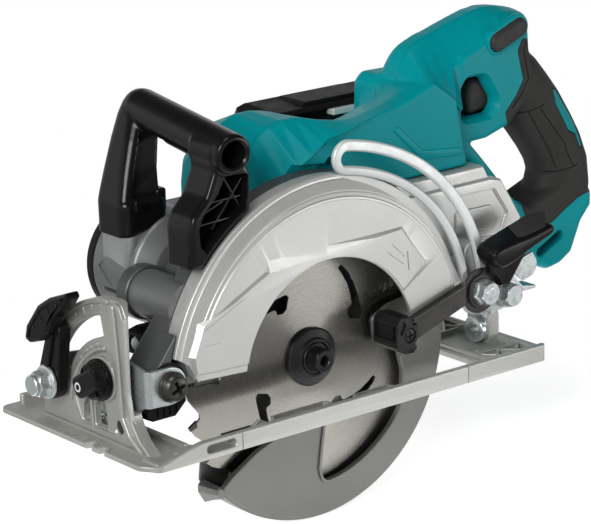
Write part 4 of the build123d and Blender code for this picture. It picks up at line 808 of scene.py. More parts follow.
# lattice of the rear deck
lat = []
for p, q in (((116, -42), (131, -26)), ((131, -42), (116, -26)), ((131, -42), (148, -26)), ((148, -42), (131, -26)), ((131, -43), (131, -25)), ((116, -25), (149, -25)),
             ((116, 24), (131, 44)), ((131, 24), (116, 44)), ((131, 24), (148, 44)), ((148, 24), (131, 44)), ((131, 24), (131, 100)), ((116, 24), (149, 24)), ((116, 44), (149, 44)),
             ((116, 64), (149, 64)), ((116, 84), (149, 84)), ((116, 46), (148, 62)), ((116, 66), (148, 82)), ((148, 46), (116, 62)), ((148, 66), (116, 82)), ((116, 100), (148, 86))):
    lat.append(prism(slot2(p, q, 0.95, 5), XY, 4.0, 7.5, 0, 0.5))
add(deck, *lat)
add(deck, blk(113.6, 117.2, -43.5, 101, 3.0, 7.4, 0.9, 1.2))
for xr, yr in ((131, -33.8), (131, 34), (118.5, -20), (118.5, 18)):
    add(deck, lathe(lathe_prof([(0.01, 3.0), (3.4, 3.0), (3.0, 7.3, 0.6), (1.5, 7.3, 0.2), (1.5, 5.8), (0.01, 5.8)]), (xr, yr), "Z", 32))
# long ribs on the right-hand deck
for xr in (-96, -64, -32, 0, 32, 64, 96):
    add(deck, prism(rp([(54.6, 2.6), (56, 5.4, 1.5), (100, 5.4, 1.5), (102, 2.6)], 0), YZ, xr - 1.1, xr + 1.1, 0.5))
# upright lug of the rear pivot with its web
lug = prism(hull2((0, 13.5), 12.0, (0, 3.0), 15.0, 24), YZ, 141.0, 150.0, 1.2)
common(lug, prism(P2([(130, -6.8), (160, -6.8), (160, 30), (130, 30)]), XY, 1, 40))
web = prism(rp([(148.5, 3.0), (148.5, 21.0, 1), (151.0, 20.0, 2), (153.6, 9.0, 3), (154.0, 3.0)], 0), XZ, -3.4, 3.8, 0.8)
web2 = prism(rp([(11.0, 3.0), (11.0, 15.0, 1), (15.0, 13.0, 3), (29.0, 7.2, 4), (30.0, 3.0)], 0), YZ, 144.0, 147.0, 0.8)
add(deck, lug, web, web2)
cut(deck, hole(circ(0, 13.5, 5.05, 40), YZ, 141.0, 154.2, 0.5))
# rule slot with its clamp screw pocket, seams, sight notches, edge scale
cut(deck, hole(rp([(-113.5, 3.4), (-92.5, 3.4), (-92.5, 8.4), (-113.5, 8.4)], 2.2, 6), XZ, -47.4, -28.5, 0.45))
for xs in (-88.0, 87.0):
    cut(deck, prism(P2([(xs - 0.4, -1), (xs + 0.4, -1), (xs + 0.4, 12), (xs - 0.4, 12)]), XZ, -48.0, -46.75), prism(P2([(xs - 0.4, -48), (xs + 0.4, -48), (xs + 0.4, -43), (xs - 0.4, -43)]), XY, 10.3, 12))
for yc in (0.0, 12.5):
    cut(deck, prism(rp([(-155, yc - 3.0), (-151.6, yc - 2.3, 0.5), (-149.4, yc - 0.5, 0.5), (-149.4, yc + 0.5, 0.5), (-151.6, yc + 2.3, 0.5), (-155, yc + 3.0)], 0, 3), XY, -1, 8))
    rim_ = prism(rp([(-153.6, yc - 4.2, 0.4), (-150.8, yc - 3.6, 1), (-147.8, yc - 1.4, 1), (-147.8, yc + 1.4, 1), (-150.8, yc + 3.6, 1), (-153.6, yc + 4.2, 0.4)], 0, 3), XY, 2.4, 3.9, 0, 0.4)
    cut(rim_, prism(rp([(-155, yc - 3.0), (-151.6, yc - 2.3, 0.5), (-149.4, yc - 0.5, 0.5), (-149.4, yc + 0.5, 0.5), (-151.6, yc + 2.3, 0.5), (-155, yc + 3.0)], 0, 3), XY, -1, 8))
    add(deck, rim_)
for ry in (37, 57):
    cut(deck, prism(circ(-128.5, ry, 2.6, 28), XY, -1, 10))
for yc in (26, 32, 38, 44, 50, 56, 62, 68, 74, 80):
    cut(deck, prism(slot2((-153.0, yc), (-149.6 if yc % 4 else -148.0, yc), 0.22, 3), XY, 2.95, 5))
piece(deck, "base_shoe", M["cast"], "base_plate", angle=30)

# ---------------------------------------------------------------------------
# bevel quadrant, stop dial, clamp lever, front bracket
# ---------------------------------------------------------------------------
BZ = 13.5
qa = lambda r, a0, a1, n=24: arc(0, BZ, r, a0, a1, n)
band = lambda r0, r1, a0, a1: qa(r1, a0, a1, 40) + qa(r0, a1, a0, 40)
q_pts = [(p.x, p.y) for p in qa(76.4, 0, 86, 44)] + [(-2.0, 90.2, 3), (-7.6, 88.2, 5), (-11.2, 81.0, 6), (-12.6, 36.0, 12), (-15.8, 21.0, 10), (-23.4, 11.0, 6), (-33.2, 4.6), (76.4, 4.6)]
qd = prism(rp(q_pts, 0, 6), YZ, -141.0, -135.0, 0.7, 0.5)
cut(qd, hole(rp([(p.x, p.y) for p in band(53.4, 66.0, 9, 77.5)], 1.2, 4), YZ, -141.0, -135.0, 0.5))
# rims of the two arcs and the deep field of the dial
add(qd, prism(rp([(p.x, p.y) for p in band(73.6, 76.4, 2, 87)], 0.8, 3), YZ, -143.0, -140.0, 1.0, 0, 4), prism(rp([(p.x, p.y) for p in band(67.3, 68.7, 6, 79.5)], 0.6, 3), YZ, -141.9, -140.0, 0.7, 0, 3),
    prism(rp([(p.x, p.y) for p in band(45.6, 48.2, 8, 79)], 0.8, 3), YZ, -143.0, -140.0, 1.0, 0, 4))
fld_ = [(p.x, p.y) for p in qa(45.0, 10, 83, 30)] + [(4.2, 52.0, 2), (0.8, 24.0, 4), (4.4, 8.2, 3), (38.0, 8.2, 3)]
cut(qd, prism(rp(fld_, 0, 5), YZ, -144.0, -139.7, 0.0, 0.5))
# post: wide rolled ridge, flat, deep groove, outer ridge, both running out into the foot
ridge_a = rp([(-7.4, 22.0, 1.5), (-13.4, 12.2, 3), (-25.0, 4.8, 0), (-19.0, 4.8, 0), (-9.6, 11.0, 4), (-3.4, 20.6, 6), (0.4, 52.0, 0), (2.4, 70.0, 0), (4.0, 86.6, 2.5), (-1.6, 88.4, 2.5), (-3.8, 70.0, 0), (-5.6, 50.0, 0)], 0, 5)
ridge_b = rp([(-12.3, 38.0, 2), (-15.4, 21.4, 8), (-23.2, 11.2, 5), (-32.8, 4.8, 0), (-28.8, 4.8, 0), (-20.4, 12.0, 6), (-12.4, 22.6, 8), (-9.8, 38.0, 8), (-7.9, 60.0, 0), (-6.6, 79.0, 4), (-4.8, 84.6, 3), (-2.4, 87.2, 1), (-2.4, 89.8, 1), (-7.4, 87.9, 5), (-10.9, 80.8, 6)], 0, 5)
add(qd, prism(ridge_a, YZ, -143.5, -139.5, 1.7, 0, 5), prism(ridge_b, YZ, -143.2, -139.5, 1.0, 0, 4))
cut(qd, prism(slot2((-5.0, 82.0), (-8.6, 28.0), 0.85, 6), YZ, -144, -138.4, 0, 0.5))
# the post's back edge falls away behind the outer ridge
cut(qd, prism(P2([(-134.0, -40.0), (-134.0, -3.6), (-140.3, -12.2), (-140.3, -40.0)]), XY, 24.5, 100))
# windows under the dial, pivot bore, dial boss
for o in ([(13.6, 9.0, 1), (25.0, 9.0, 1), (25.6, 21.0, 3), (21.0, 25.6, 4), (16.0, 25.2, 4), (13.6, 20.0, 3)], [(28.4, 9.0, 1), (37.6, 9.0, 1), (37.6, 18.0, 3), (34.6, 22.6, 4), (30.4, 24.0, 3), (28.4, 20.0, 3)]):
    cut(qd, hole(rp(o, 0, 5), YZ, -139.7, -135.0, 0.6))
add(qd, prism(rp([(25.3, 5.0), (26.6, 24.5, 1), (29.2, 24.5, 1), (28.0, 5.0)], 0), YZ, -141.2, -138.0, 0.8, 0))
add(qd, lathe(lathe_prof([(4.05, -136.0), (13.5, -136.0), (13.5, -141.8, 0.5), (12.2, -142.2, 0.3), (4.05, -142.2)]), (14, 40), "X", 64))
cut(qd, prism(circ(0, BZ, 4.05, 40), YZ, -150, -130), lathe([(0.01, -145), (4.05, -145), (5.0, -141.2), (4.05, -140.0), (0.01, -140)], (0, BZ), "X", 40), prism(circ(14, 40, 4.05, 40), YZ, -150, -130))
# scale: ticks on the outer band, raised pads on the inner one, marks round the dial
for k in range(0, 46, 5):
    a = 88 - k * 1.5
    w = 0.42 if k % 15 == 0 else 0.26
    r0 = 68.9 if k % 15 == 0 else 70.3
    p, q = qa(r0, a - 1, a - 1, 1)[0], qa(72.9, a - 1, a - 1, 1)[0]
    if p.x > 2:
        add(qd, prism(slot2(p, q, w, 4), YZ, -141.35, -140.5, 0.12, 0))
for a0, a1 in ((74.5, 71.0), (69.0, 62.5), (60.5, 57.5), (54.5, 48.0), (45.0, 42.0)):
    add(qd, prism(rp([(p.x, p.y) for p in band(48.8, 50.4, a1, a0)], 0.5, 3), YZ, -141.6, -140.5, 0.25, 0, 2))
for a in (62, 38, 14, -12, -38):
    p, q = arc(14, 40, 15.2, a, a, 1)[0], arc(14, 40, 18.4, a, a, 1)[0]
    if p.x < 40:
        add(qd, prism(slot2(p, q, 0.42, 4), YZ, -140.1, -139.0, 0.15, 0))
# foot flange, end web and stiffeners behind the plate
add(qd, blk(-135.4, -124, 30, 64, 4.6, 7.4, 0.6, 1.0), blk(-135.4, -132.0, 30, 64, 4.6, 12, 0.6, 0.8))
add(qd, prism(rp([(-135.6, 4.6), (-135.6, 18.5, 2), (-126.5, 15.5, 3), (-122.5, 4.6)], 0), XZ, 72.6, 76.3, 0.7))
for ry in (37, 57):
    cut(qd, prism(circ(-128.5, ry, 2.6, 28), XY, 0, 20))
piece(qd, "quadrant_casting", M["cast"], "bevel_quadrant", angle=30)

# dial: collar, body with two small eyes, faceted pointer bar, pale ring mark
dl = lathe(lathe_prof([(0.01, -134.0), (4.0, -134.0), (4.0, -142.4), (11.6, -142.4, 0.3), (12.5, -142.9, 0.4), (12.5, -145.4, 0.8), (10.9, -146.2, 0.3), (10.8, -149.6, 0.9), (9.4, -150.5, 0.5), (0.01, -150.5)]), (14, 40), "X", 72)
add(dl, lathe([(3.9, -135.0 + 0.15), (6.5, -134.85), (6.5, -133.9), (3.9, -133.9)], (14, 40), "X", 40))
bar_o = [(-13.2, -3.4, 2.2), (-10.9, -6.5, 2.5), (10.4, -6.7, 2.5), (12.9, -3.8, 2.2), (12.9, 3.8, 2.2), (10.4, 6.7, 2.5), (-10.9, 6.5, 2.5), (-13.2, 3.4, 2.2)]
dial_pl = lambda u, v, d: (d, 14 - u * cos(radians(30)) - v * sin(radians(30)), 40 + u * sin(radians(30)) - v * cos(radians(30)))
pt = prism(rp([(-p[0], p[1], p[2]) for p in bar_o], 0, 5), dial_pl, -154.4, -147.0, 1.9, 0, 2)
add(dl, pt)
for u, v in ((3.5, 8.4), (-3.5, -8.4)):
    c_ = dial_pl(u, v, 0)
    cut(dl, lathe([(0.01, -152), (1.7, -152), (1.7, -148.4), (0.01, -148.4)], (c_[1], c_[2]), "X", 24))
e_ = dial_pl(-7.6, 0, 0)
ring_cut = lathe([(1.7, -156), (3.0, -156), (3.0, -154.05), (1.7, -154.05)], (e_[1], e_[2]), "X", 40)
cut(dl, ring_cut)
piece(dl, "stop_dial_knob", M["black"], "stop_dial", angle=30)
rm = lathe([(1.75, -154.35), (2.95, -154.35), (2.95, -154.0), (1.75, -154.0)], (e_[1], e_[2]), "X", 40)
piece(rm, "stop_dial_mark", M["lens"], body="stop_dial", angle=30)

# clamp lever: arm with a raised spine, chamfered paddle, hub
lv = prism(hull2((55.5, 30.5), 10.6, (47.5, 62.0), 7.0, 20), YZ, -151.4, -144.0, 1.1, 0.5)
pad = rp([(42.3, 85.6, 3), (24.4, 92.2, 1.5), (22.3, 89.4, 1.5), (29.6, 80.2, 3), (38.6, 74.6, 5), (44.0, 64.0, 6), (52.0, 57.2, 5), (63.4, 53.6, 2), (68.6, 55.4, 2), (66.2, 64.0, 4), (53.4, 79.0, 5)], 0, 6)
pd = prism(pad, YZ, -158.0, -148.2, 2.0, 1.0, 2)
cut(pd, prism(offset(ccw(dedupe(pad)), -3.6), YZ, -160, -157.35, 0, 0.3))
add(lv, pd, prism(rp([(57.6, 36.0, 1), (53.6, 36.0, 1), (46.8, 60.0, 2), (48.8, 63.0, 2), (53.0, 60.0, 2)], 0), YZ, -153.2, -150.5, 0.9, 0))
for k in range(4):
    c0 = Vector((58.2 - 8.4 * k, 63.6 + 5.6 * k))
    add(lv, prism(slot2(c0, c0 + Vector((3.0, 4.4)), 0.6, 4), YZ, -157.9, -157.0, 0.3, 0))
cut(lv, prism(circ(55.5, 30.5, 6.52, 40), YZ, -170, -140))
piece(lv, "bevel_lever_arm", M["black"], "bevel_lever", angle=30)
nt = lathe(lathe_prof([(4.05, -144.0), (6.5, -144.0), (6.5, -151.5), (9.8, -151.5, 0.3), (10.4, -152.2, 0.4), (10.0, -153.4, 0.5), (8.6, -153.9, 0.3), (4.05, -153.9)]), (55.5, 30.5), "X", 64)
add(nt, hex_head((55.5, 30.5), 13.6, -160.6, -153.6, 8, ax="X", top=True), lathe(lathe_prof([(0.01, -159.0), (6.3, -159.0), (6.3, -162.9, 0.7), (5.6, -163.6, 0.4), (0.01, -163.6)]), (55.5, 30.5), "X", 48))
cut(nt, lathe([(0.01, -161.0), (4.05, -161.0), (4.05, -140), (0.01, -140)], (55.5, 30.5), "X", 40))
piece(nt, "bevel_clamp_nut", M["zinc"], "bevel_nut", angle=30)

# bent zinc strap: leg with a round end, rolled bend, plate behind the quadrant
leg = prism(rp([(-130.2, 27.4), (-118, 26.9, 6)] + [(p.x, p.y) for p in arc(-117, 38, 11.2, -84, 84, 28)] + [(-118, 49.2, 6), (-130.2, 49.3)], 0), XZ, -19.2, -16.2, 0.5)
bend = lathe([(0.8, 27.4), (3.4, 27.4), (3.6, 27.7), (3.6, 49.0), (3.4, 49.3), (0.8, 49.3)], (-130.0, -15.6), "Z", 14, 180, 270)
pl_o = rp([(-15.8, 27.4), (-9.0, 24.0, 4), (-7.0, 8.0, 3), (6.0, 6.8, 3), (20, 14, 8), (46, 18, 8), (66, 20, 4), (68, 38, 4), (60, 44, 6), (34, 52, 8), (10, 54, 8), (-6, 51, 6), (-15.8, 49.3)], 0, 5)
fb = add(prism(pl_o, YZ, -133.6, -130.8, 0.5), bend, leg)
cut(fb, hole(circ(0, BZ, 4.02, 32), YZ, -133.6, -130.8, 0.3), hole(circ(55.5, 30.5, 4.02, 32), YZ, -133.6, -130.8, 0.3), hole(circ(-117, 38, 5.02, 40), XZ, -19.2, -16.2, 0.3))
piece(fb, "front_strap", M["zinc"], "front_bracket", angle=30)

# cross-head pivot screw with spring washer
sc_ = lathe(lathe_prof([(0.01, -4.0), (5.0, -4.0), (5.0, -19.3), (9.2, -19.3, 0.3), (9.2, -21.3, 0.4), (8.4, -21.7, 0.2), (8.5, -22.4, 0.4), (8.2, -24.0, 1.6), (6.9, -26.2, 2.0), (4.2, -27.0, 1.5), (0.01, -27.0)], 5), (-117, 38), "Y", 72)
xs = []
for k in range(2):
    a = radians(-68 + 90 * k)
    u = Vector((cos(a), sin(a)))
    v = Vector((-u.y, u.x))
    c_ = Vector((-117, 38))
    xs.append(rings_mesh([[XZ(*(c_ + u * (sx * lw) + v * (sy * w)), y) for sx, sy in ((-1, -1), (1, -1), (1, 1), (-1, 1))] for lw, w, y in ((5.4, 1.25, -28.0 - 0.1 * k), (5.2, 1.2, -26.9), (2.2, 0.6, -23.0 + 0.13 * k))]))
cut(sc_, add(xs[0], xs[1]))
piece(sc_, "pivot_screw_head", M["steel"], "depth_pivot_screw", angle=30)

# ---------------------------------------------------------------------------
# front handle: round bar, ribbed near leg, hollow-faced far leg on its socket
# ---------------------------------------------------------------------------
def rrect(x0, x1, y0, y1, r, z, n=5):
    return [(p.x, p.y, z) for p in rp([(x0, y0), (x1, y0), (x1, y1), (x0, y1)], r, n)]


FN, FF = Vector((-68.5, -22.0, 166.0)), Vector((-60.6, 77.5, 176.0))
fd = (FF - FN).normalized()
FL = (FF - FN).length
bar = tube([FN + fd * t for t in (0.0, 0.5, 1.6, 6, 20, 40, 60, 80, FL - 4, FL, FL + 4.5, FL + 8, FL + 10.5, FL + 11.8)],
           [10.4, 11.2, 12, 12, 12, 12, 12, 12, 12, 12, 11.1, 8.9, 5.7, 1.4], n=40)
leg_o = rp([(p.x, p.y, 0) for p in arc(-68.5, 166, 12, -24, 190, 22)]
           + [(-77.8, 157.5, 8), (-84.4, 142.2, 8), (-94.8, 131.8, 8), (-96.8, 124, 6), (-96.8, 101.3, 1.5)]
           + [(p.x, p.y, 0) for p in arc(0, 26, 116.2, 139.6, 117.2, 14)] + [(-52.9, 134, 5), (-52.1, 152.3, 8)], 0, 5)
leg = prism(leg_o, XZ, -16.0, 8.0, 2.6, 2.0, seg=4)
far = rings_mesh([rrect(-91.8, -62.4, 56.5, 86.6, 6, 116), rrect(-91.9, -62.4, 57, 86.6, 6, 124), rrect(-90.6, -61.6, 57.8, 86.6, 6, 129), rrect(-86.8, -60.2, 60, 87, 7, 142),
                  rrect(-80.4, -56.2, 63, 87.8, 7.5, 160), rrect(-74.5, -50.4, 65.6, 88.8, 8.5, 174), rrect(-71, -51.4, 68, 87.5, 8, 181)])
foot = rings_mesh([rrect(-92.2, -58.4, 55.4, 86.6, 7, z) for z in (100, 108, 116, 123)] + [rrect(-91.8, -58.8, 55.8, 86.4, 7, 125.2), rrect(-90.6, -60, 57, 85.6, 6.5, 126.6)])
foot = common(foot, prism(P2([(-95, 103.9), (-95, 130), (-50, 130), (-50, 113.0), (-61, 113.0), (-66, 112.4), (-72, 108.1)]), XZ, 50, 90))
fh = add(bar, leg, far, foot)
panel = rings_mesh([[(-84.2, 40, 127.5), (-63.2, 40, 127.5), (-63.2, 60.6, 127.5), (-84.2, 62.0, 127.5)],
                    [(-79.6, 40, 142), (-60.8, 40, 142), (-60.8, 63.4, 142), (-79.6, 65.4, 142)],
                    [(-73.8, 40, 160), (-57.2, 40, 160), (-57.2, 66.4, 160), (-73.8, 68.4, 160)],
                    [(-71.6, 40, 166.5), (-55.6, 40, 166.5), (-55.6, 68.2, 166.5), (-71.6, 70, 166.5)]])
fh = cut(fh, panel)
fh = remeshed(fh, 0.85, 6, 0.5)
rec = rp([(p.x, p.y, 0) for p in arc(0, 26, 120.0, 118.7, 135.6, 10)]
         + [(-89.4, 114, 2), (-90.4, 125, 4), (-86.6, 132.6, 5), (-76.2, 143, 6), (-70.8, 152.8, 3), (-55.2, 152.3, 2), (-55.7, 140, 2)], 0, 4)
bore = tube([FN + fd * t for t in (-6, 30)], 8.0, n=40)
bore_m = tube([FN + fd * t for t in (-3, 0.0, 0.9)], [8.9, 8.9, 8.0], n=40)
fh = cut(fh, prism(rec, XZ, -30, -3.5, 0, 1.0), prism(offset(ccw(rec), 0.6), XZ, -30, -15.2, 0, 0), bore, bore_m)


def rib(p, q, w=1.3, y0=-12.6, y1=-2.6):
    p, q = Vector(p), Vector(q)
    n = Vector((-(q - p).y, (q - p).x)).normalized() * (w / 2)
    return prism([p - n, q - n, q + n, p + n], XZ, y0, y1, 0.35, 0)


fh = add(fh, rib((-71.6, 154.0), (-56.6, 129.4)), rib((-53.8, 152.4), (-79.4, 122.2)), rib((-83.2, 138.0), (-54.2, 138.8)), rib((-91, 126.0), (-62.6, 127.0)),
         rib((-70.5, 137.6), (-88, 131.2)))
# small catch under the far leg and the step beside it
fh = add(fh, prism(rp([(-84.6, 120), (-76.4, 120), (-76.4, 126.8), (-84.6, 126.8)], 1.6), XZ, 53.9, 60, 1.2, 0),
         blk(-66, -58.0, 58, 85, 116, 130.2, 1.6, 3))
piece(fh, "front_handle_grip", M["black_gloss"], node="front_handle", angle=40)

# ---------------------------------------------------------------------------
# motor housing, end cover, blower duct
# ---------------------------------------------------------------------------
bell = lathe(lathe_prof([(12, 46.1), (24.0, 46.1), (25.6, 46.6), (34.8, 53.0), (36.0, 54.4), (36.5, 56.2), (36.5, 92.6), (35.9, 94.0), (32.5, 94.0), (32.5, 54.3), (12, 50.5)], 1), c=(MX, MZ), seg=128)
box = blk(-46, -12.7, 46.2, 93.9, 52.2, 111.8, 2.0, 3.0)
box = cut(box, lathe([(0, 50.4), (32.5, 50.4), (32.5, 99), (0, 99)], c=(MX, MZ), seg=96))
boss_m = common(rings_mesh([rrect(-90.5, -58, 56, 86, 7, z) for z in (70, 112.6)]),
                prism(rp([(-92, 84, 0), (-92, 104.0), (-72, 108.0), (-66, 112.4), (-57, 112.4), (-57, 96), (-70, 78)], 0), XZ, 54, 88))
boss_m = cut(boss_m, lathe([(0, 44), (36.2, 44), (36.2, 99), (0, 99)], c=(MX, MZ), seg=128),
             prism(P2([(87, 93.0), (55, 85.0), (55, 60), (87, 60)]), YZ, -100, -88.6))
mot = add(bell, box)
cutters = []
for k in range(5):
    a = radians(196 + 14 * k)
    cutters.append(prism(rp([(58, -1.4), (84, -1.4), (84, 1.4), (58, 1.4)], 1.3), plane((MX + 34.9 * cos(a), 0, MZ + 34.9 * sin(a)), (0, 1, 0), (-sin(a), 0, cos(a))), -4, 4))
mot = cut(mot, prism(P2([(56, 72), (84, 86), (88, 82), (70, 66)]), YZ, -96, -88.9), *cutters)
flute = []
for zz in (62, 72, 82, 92, 102):
    flute.append(blk(-13.6, -10, 52, 90, zz - 2.2, zz + 2.2, 0.6, 0.8))
mot = cut(mot, *flute)
piece(mot, "motor_shell", M["grey_cast"], node="motor_housing", angle=36)
# square boss on the bell that carries the handle's far leg, machined bright
piece(bevelled(boss_m, 0.7, 3, 30), "handle_boss", M["boss_cast"], body="saw_body", angle=30)

ec = lathe(lathe_prof([(32.4, 94.1), (36.5, 94.1), (36.5, 99.4), (35.4, 101.4), (33.4, 102.0), (12.6, 102.0), (12.0, 101.2), (12.0, 100.2), (9.6, 100.2), (9.6, 94.6), (12.4, 94.6), (12.4, 98.5), (32.4, 98.5)], 1), c=(MX, MZ), seg=112)
cs = []
for k in range(16):
    a = radians(22.5 * k)
    cs.append(hole(slot2((-5.8, 0), (5.8, 0), 1.7, 6), plane((MX + 24.5 * cos(a), 0, MZ + 24.5 * sin(a)), (cos(a), 0, sin(a)), (sin(a), 0, -cos(a))), 96, 102.0, 0.5, 1.0, "high"))
for k in range(3):
    a = radians(90 + 120 * k)
    cs.append(lathe([(0, 100.2), (2.4, 100.2), (2.4, 103), (0, 103)], c=(MX + 34.2 * cos(a) * 0.96, MZ + 34.2 * sin(a) * 0.96), seg=20))
ec = cut(ec, *cs)
ec = add(ec, lathe(lathe_prof([(0, 99.2), (9.7, 99.2), (9.7, 100.6), (8.6, 101.4), (0, 101.4)], 1), c=(MX, MZ), seg=48))
piece(ec, "motor_cap", M["black_tex"], node="motor_end_cover", angle=36)

dt = lathe(lathe_prof([(0.01, -3.6), (14.5, -3.6), (14.5, 45.9), (0.01, 45.9)], 1), c=(-91, 76.5), seg=96)
dt = cut(dt, lathe([(0.01, -12), (113.2, -12), (113.2, 7.0), (112.2, 9.6), (109.8, 12.3), (0.01, 12.3)], seg=192))
piece(dt, "duct_tube", M["grey_cast"], node="blower_duct", angle=36)
dc = lathe(lathe_prof([(14.55, 36.0), (15.7, 36.0), (16.4, 36.8), (16.4, 43.4), (15.9, 44.0), (15.9, 45.9), (14.55, 45.9)], 1), c=(-91, 76.5), seg=80)
piece(dc, "duct_ring", M["dark_cast"], node="duct_collar", angle=30)

# ---------------------------------------------------------------------------
# work light and chip deflector
# ---------------------------------------------------------------------------
wl = prism(rp([(-107.6, 43, 2), (-107.6, 57, 2), (-100, 58.8, 2), (-91, 58.8, 1), (-91, 50, 2), (-97, 43, 2)], 0), XZ, 21, 37, 1.4)
wl = add(wl, prism(rp([(-95, 50), (-95, 58.4), (-74, 58.4), (-60.5, 64.4), (-58.6, 58), (-66, 48.6)], 1.0), XZ, 24, 35, 0.8))
wl = cut(wl, lathe([(0, -109), (6.2, -109), (4.5, -106.2), (4.5, -104.6), (0, -104.6)], c=(29, 50), ax="X", seg=40),
         *[blk(-104.4 + 3 * k, -103.2 + 3 * k, 19, 22.0, 45.5, 56.2, 0.3, 0.4) for k in range(4)])
wl = cut(wl, prism(hull2((LX, LZ), 35.0, (MX, MZ), 20.6, 24), XZ, 10, 60))
piece(wl, "lamp_body", M["black"], node="work_light", angle=36)
ln = lathe(lathe_prof([(0.01, -108.2), (2.2, -107.9), (3.7, -107.1), (4.3, -106.0), (4.3, -105.0), (0.01, -105.0)], 1), c=(29, 50), ax="X", seg=40)
piece(ln, "lamp_lens", M["lens"], node="light_lens", angle=50)

cd = prism(rp([(-127, 17), (-124, 25.5), (-111, 25.6), (-104, 30), (-99, 30), (-98, 22), (-106, 14.6), (-122, 14.6)], 1.4), XZ, -8, 6, 0.9)
cd = cut(cd, lathe([(0, -20), (11.8, -20), (11.8, 20), (0, 20)], c=(-117, 38), seg=64), lathe([(0, -9), (16.3, -9), (16.3, -4.5), (0, -4.5)], c=(-117, 38), seg=64),
         *[blk(-120 + 4.4 * k, -118.4 + 4.4 * k, -9, -7.2, 16.4, 22.5, 0.3, 0.4) for k in range(4)])
piece(cd, "chip_shield", M["black"], node="chip_deflector", angle=36)

# ---------------------------------------------------------------------------
# teal housing: nose, shoulder, flat side panel, neck, handle and tail
# ---------------------------------------------------------------------------
def sec(x, pts):
    return [(x, y, z) for y, z in pts]


BODY_ST = [
    (-16.2, [(30, 97), (30, 114), (44, 133), (69, 139), (89, 133), (96, 125), (98, 115), (98, 97)]),
    (-15.0, [(25, 94), (25, 117.5), (42, 139), (70, 145), (92, 138.5), (101, 128), (103, 118), (103, 94)]),
    (-11.5, [(14.5, 92.2), (14.5, 124), (38, 148.5), (70, 153.6), (93, 146), (104.6, 132), (106.6, 118), (106.6, 92.2)]),
    (-6.5, [(7.6, 92.2), (7.6, 131), (37, 155), (70, 159.6), (93, 151), (106, 134), (107.8, 120), (107.8, 92.2)]),
    (2.0, [(4.6, 92.2), (4.6, 138.4), (36, 160.5), (70, 163.2), (93, 154), (107, 136), (107.8, 120), (107.8, 92.2)]),
    (12.0, [(4.4, 92.2), (4.4, 145.4), (36, 163), (68, 164.2), (92, 155), (107, 136), (107.8, 120), (107.8, 92.2)]),
    (22.0, [(4.4, 92.2), (4.4, 151.8), (36, 163.4), (66, 162.8), (90, 154), (106, 136), (107.8, 120), (107.8, 92.2)]),
    (27.4, [(4.6, 92.2), (4.6, 154.2), (34, 162.8), (58, 161.4), (84, 153), (105, 136), (107.6, 120), (107.6, 92.2)]),
    (28.2, [(4.6, 92.2), (4.6, 154.4), (32, 162.6), (53, 161.2), (68, 157), (74.4, 150), (74.8, 140), (74.8, 92.2)]),
    (33.0, [(5.0, 92.2), (5.0, 156.0), (27, 161.8), (46, 160.0), (52, 151), (66, 144), (74.8, 140), (74.8, 92.2)]),
    (44.0, [(5.8, 92.2), (5.8, 158.6), (22, 160.6), (42, 157.2), (46, 148), (60, 142), (74.8, 139.6), (74.8, 92.2)]),
    (49.0, [(6.2, 92.6), (6.2, 159.6), (21, 160.4), (41, 155.9), (45, 147), (60, 141.6), (74.8, 139.6), (74.8, 92.6)]),
    (56.0, [(6.8, 107), (6.8, 160.8), (20, 160.9), (41, 155.4), (45, 146), (60, 141.5), (74.8, 139.6), (74.8, 107)]),
    (61.5, [(7.2, 118.3), (7.2, 161.8), (20, 161.9), (41, 156.2), (45, 146.5), (60, 141.5), (74.8, 139.6), (74.8, 118.3)]),
    (80.0, [(7.9, 118.3), (7.9, 165.0), (20, 166.0), (41, 161.4), (45.6, 150), (60, 142), (74.8, 139.6), (74.8, 118.3)]),
    (93.0, [(8.0, 118.3), (8.0, 168.6), (20, 170.0), (42, 165.6), (47, 156), (60, 146), (74.8, 140), (74.8, 118.3)]),
    (102.0, [(8.0, 118.3), (8.0, 171.8), (20, 173.6), (42, 170.6), (52, 170), (62, 168), (74.8, 150), (74.8, 118.3)]),
    (111.0, [(8.0, 118.3), (8.0, 174.8), (20, 176.2), (42, 175), (56, 174.5), (68, 172), (74.8, 160), (74.8, 118.3)]),
    (120.0, [(8.0, 118.3), (8.0, 168.2), (20, 173.4), (42, 175), (56, 174.5), (68, 172), (74.8, 160), (74.8, 118.3)]),
    (129.0, [(8.0, 118.3), (8.0, 161.2), (20, 166.5), (42, 172), (56, 172), (68, 168), (74.8, 155), (74.8, 118.3)]),
    (133.6, [(8.0, 118.3), (8.0, 138), (20, 144), (42, 160), (56, 160), (68, 155), (74.8, 140), (74.8, 118.3)]),
    (138.2, [(8.2, 118.3), (8.2, 119.4), (20, 122), (42, 130), (56, 130), (66, 128), (74, 122), (74, 118.3)]),
]
teal = rings_mesh([sec(x, p) for x, p in BODY_ST])
hump = prism(rp([(99, 120), (99, 150), (100, 168.4, 5), (106, 174, 5), (133, 173.4, 6), (140, 160, 8), (140, 120)], 0), XZ, 48, 74.8, 0, 5.0, seg=5)

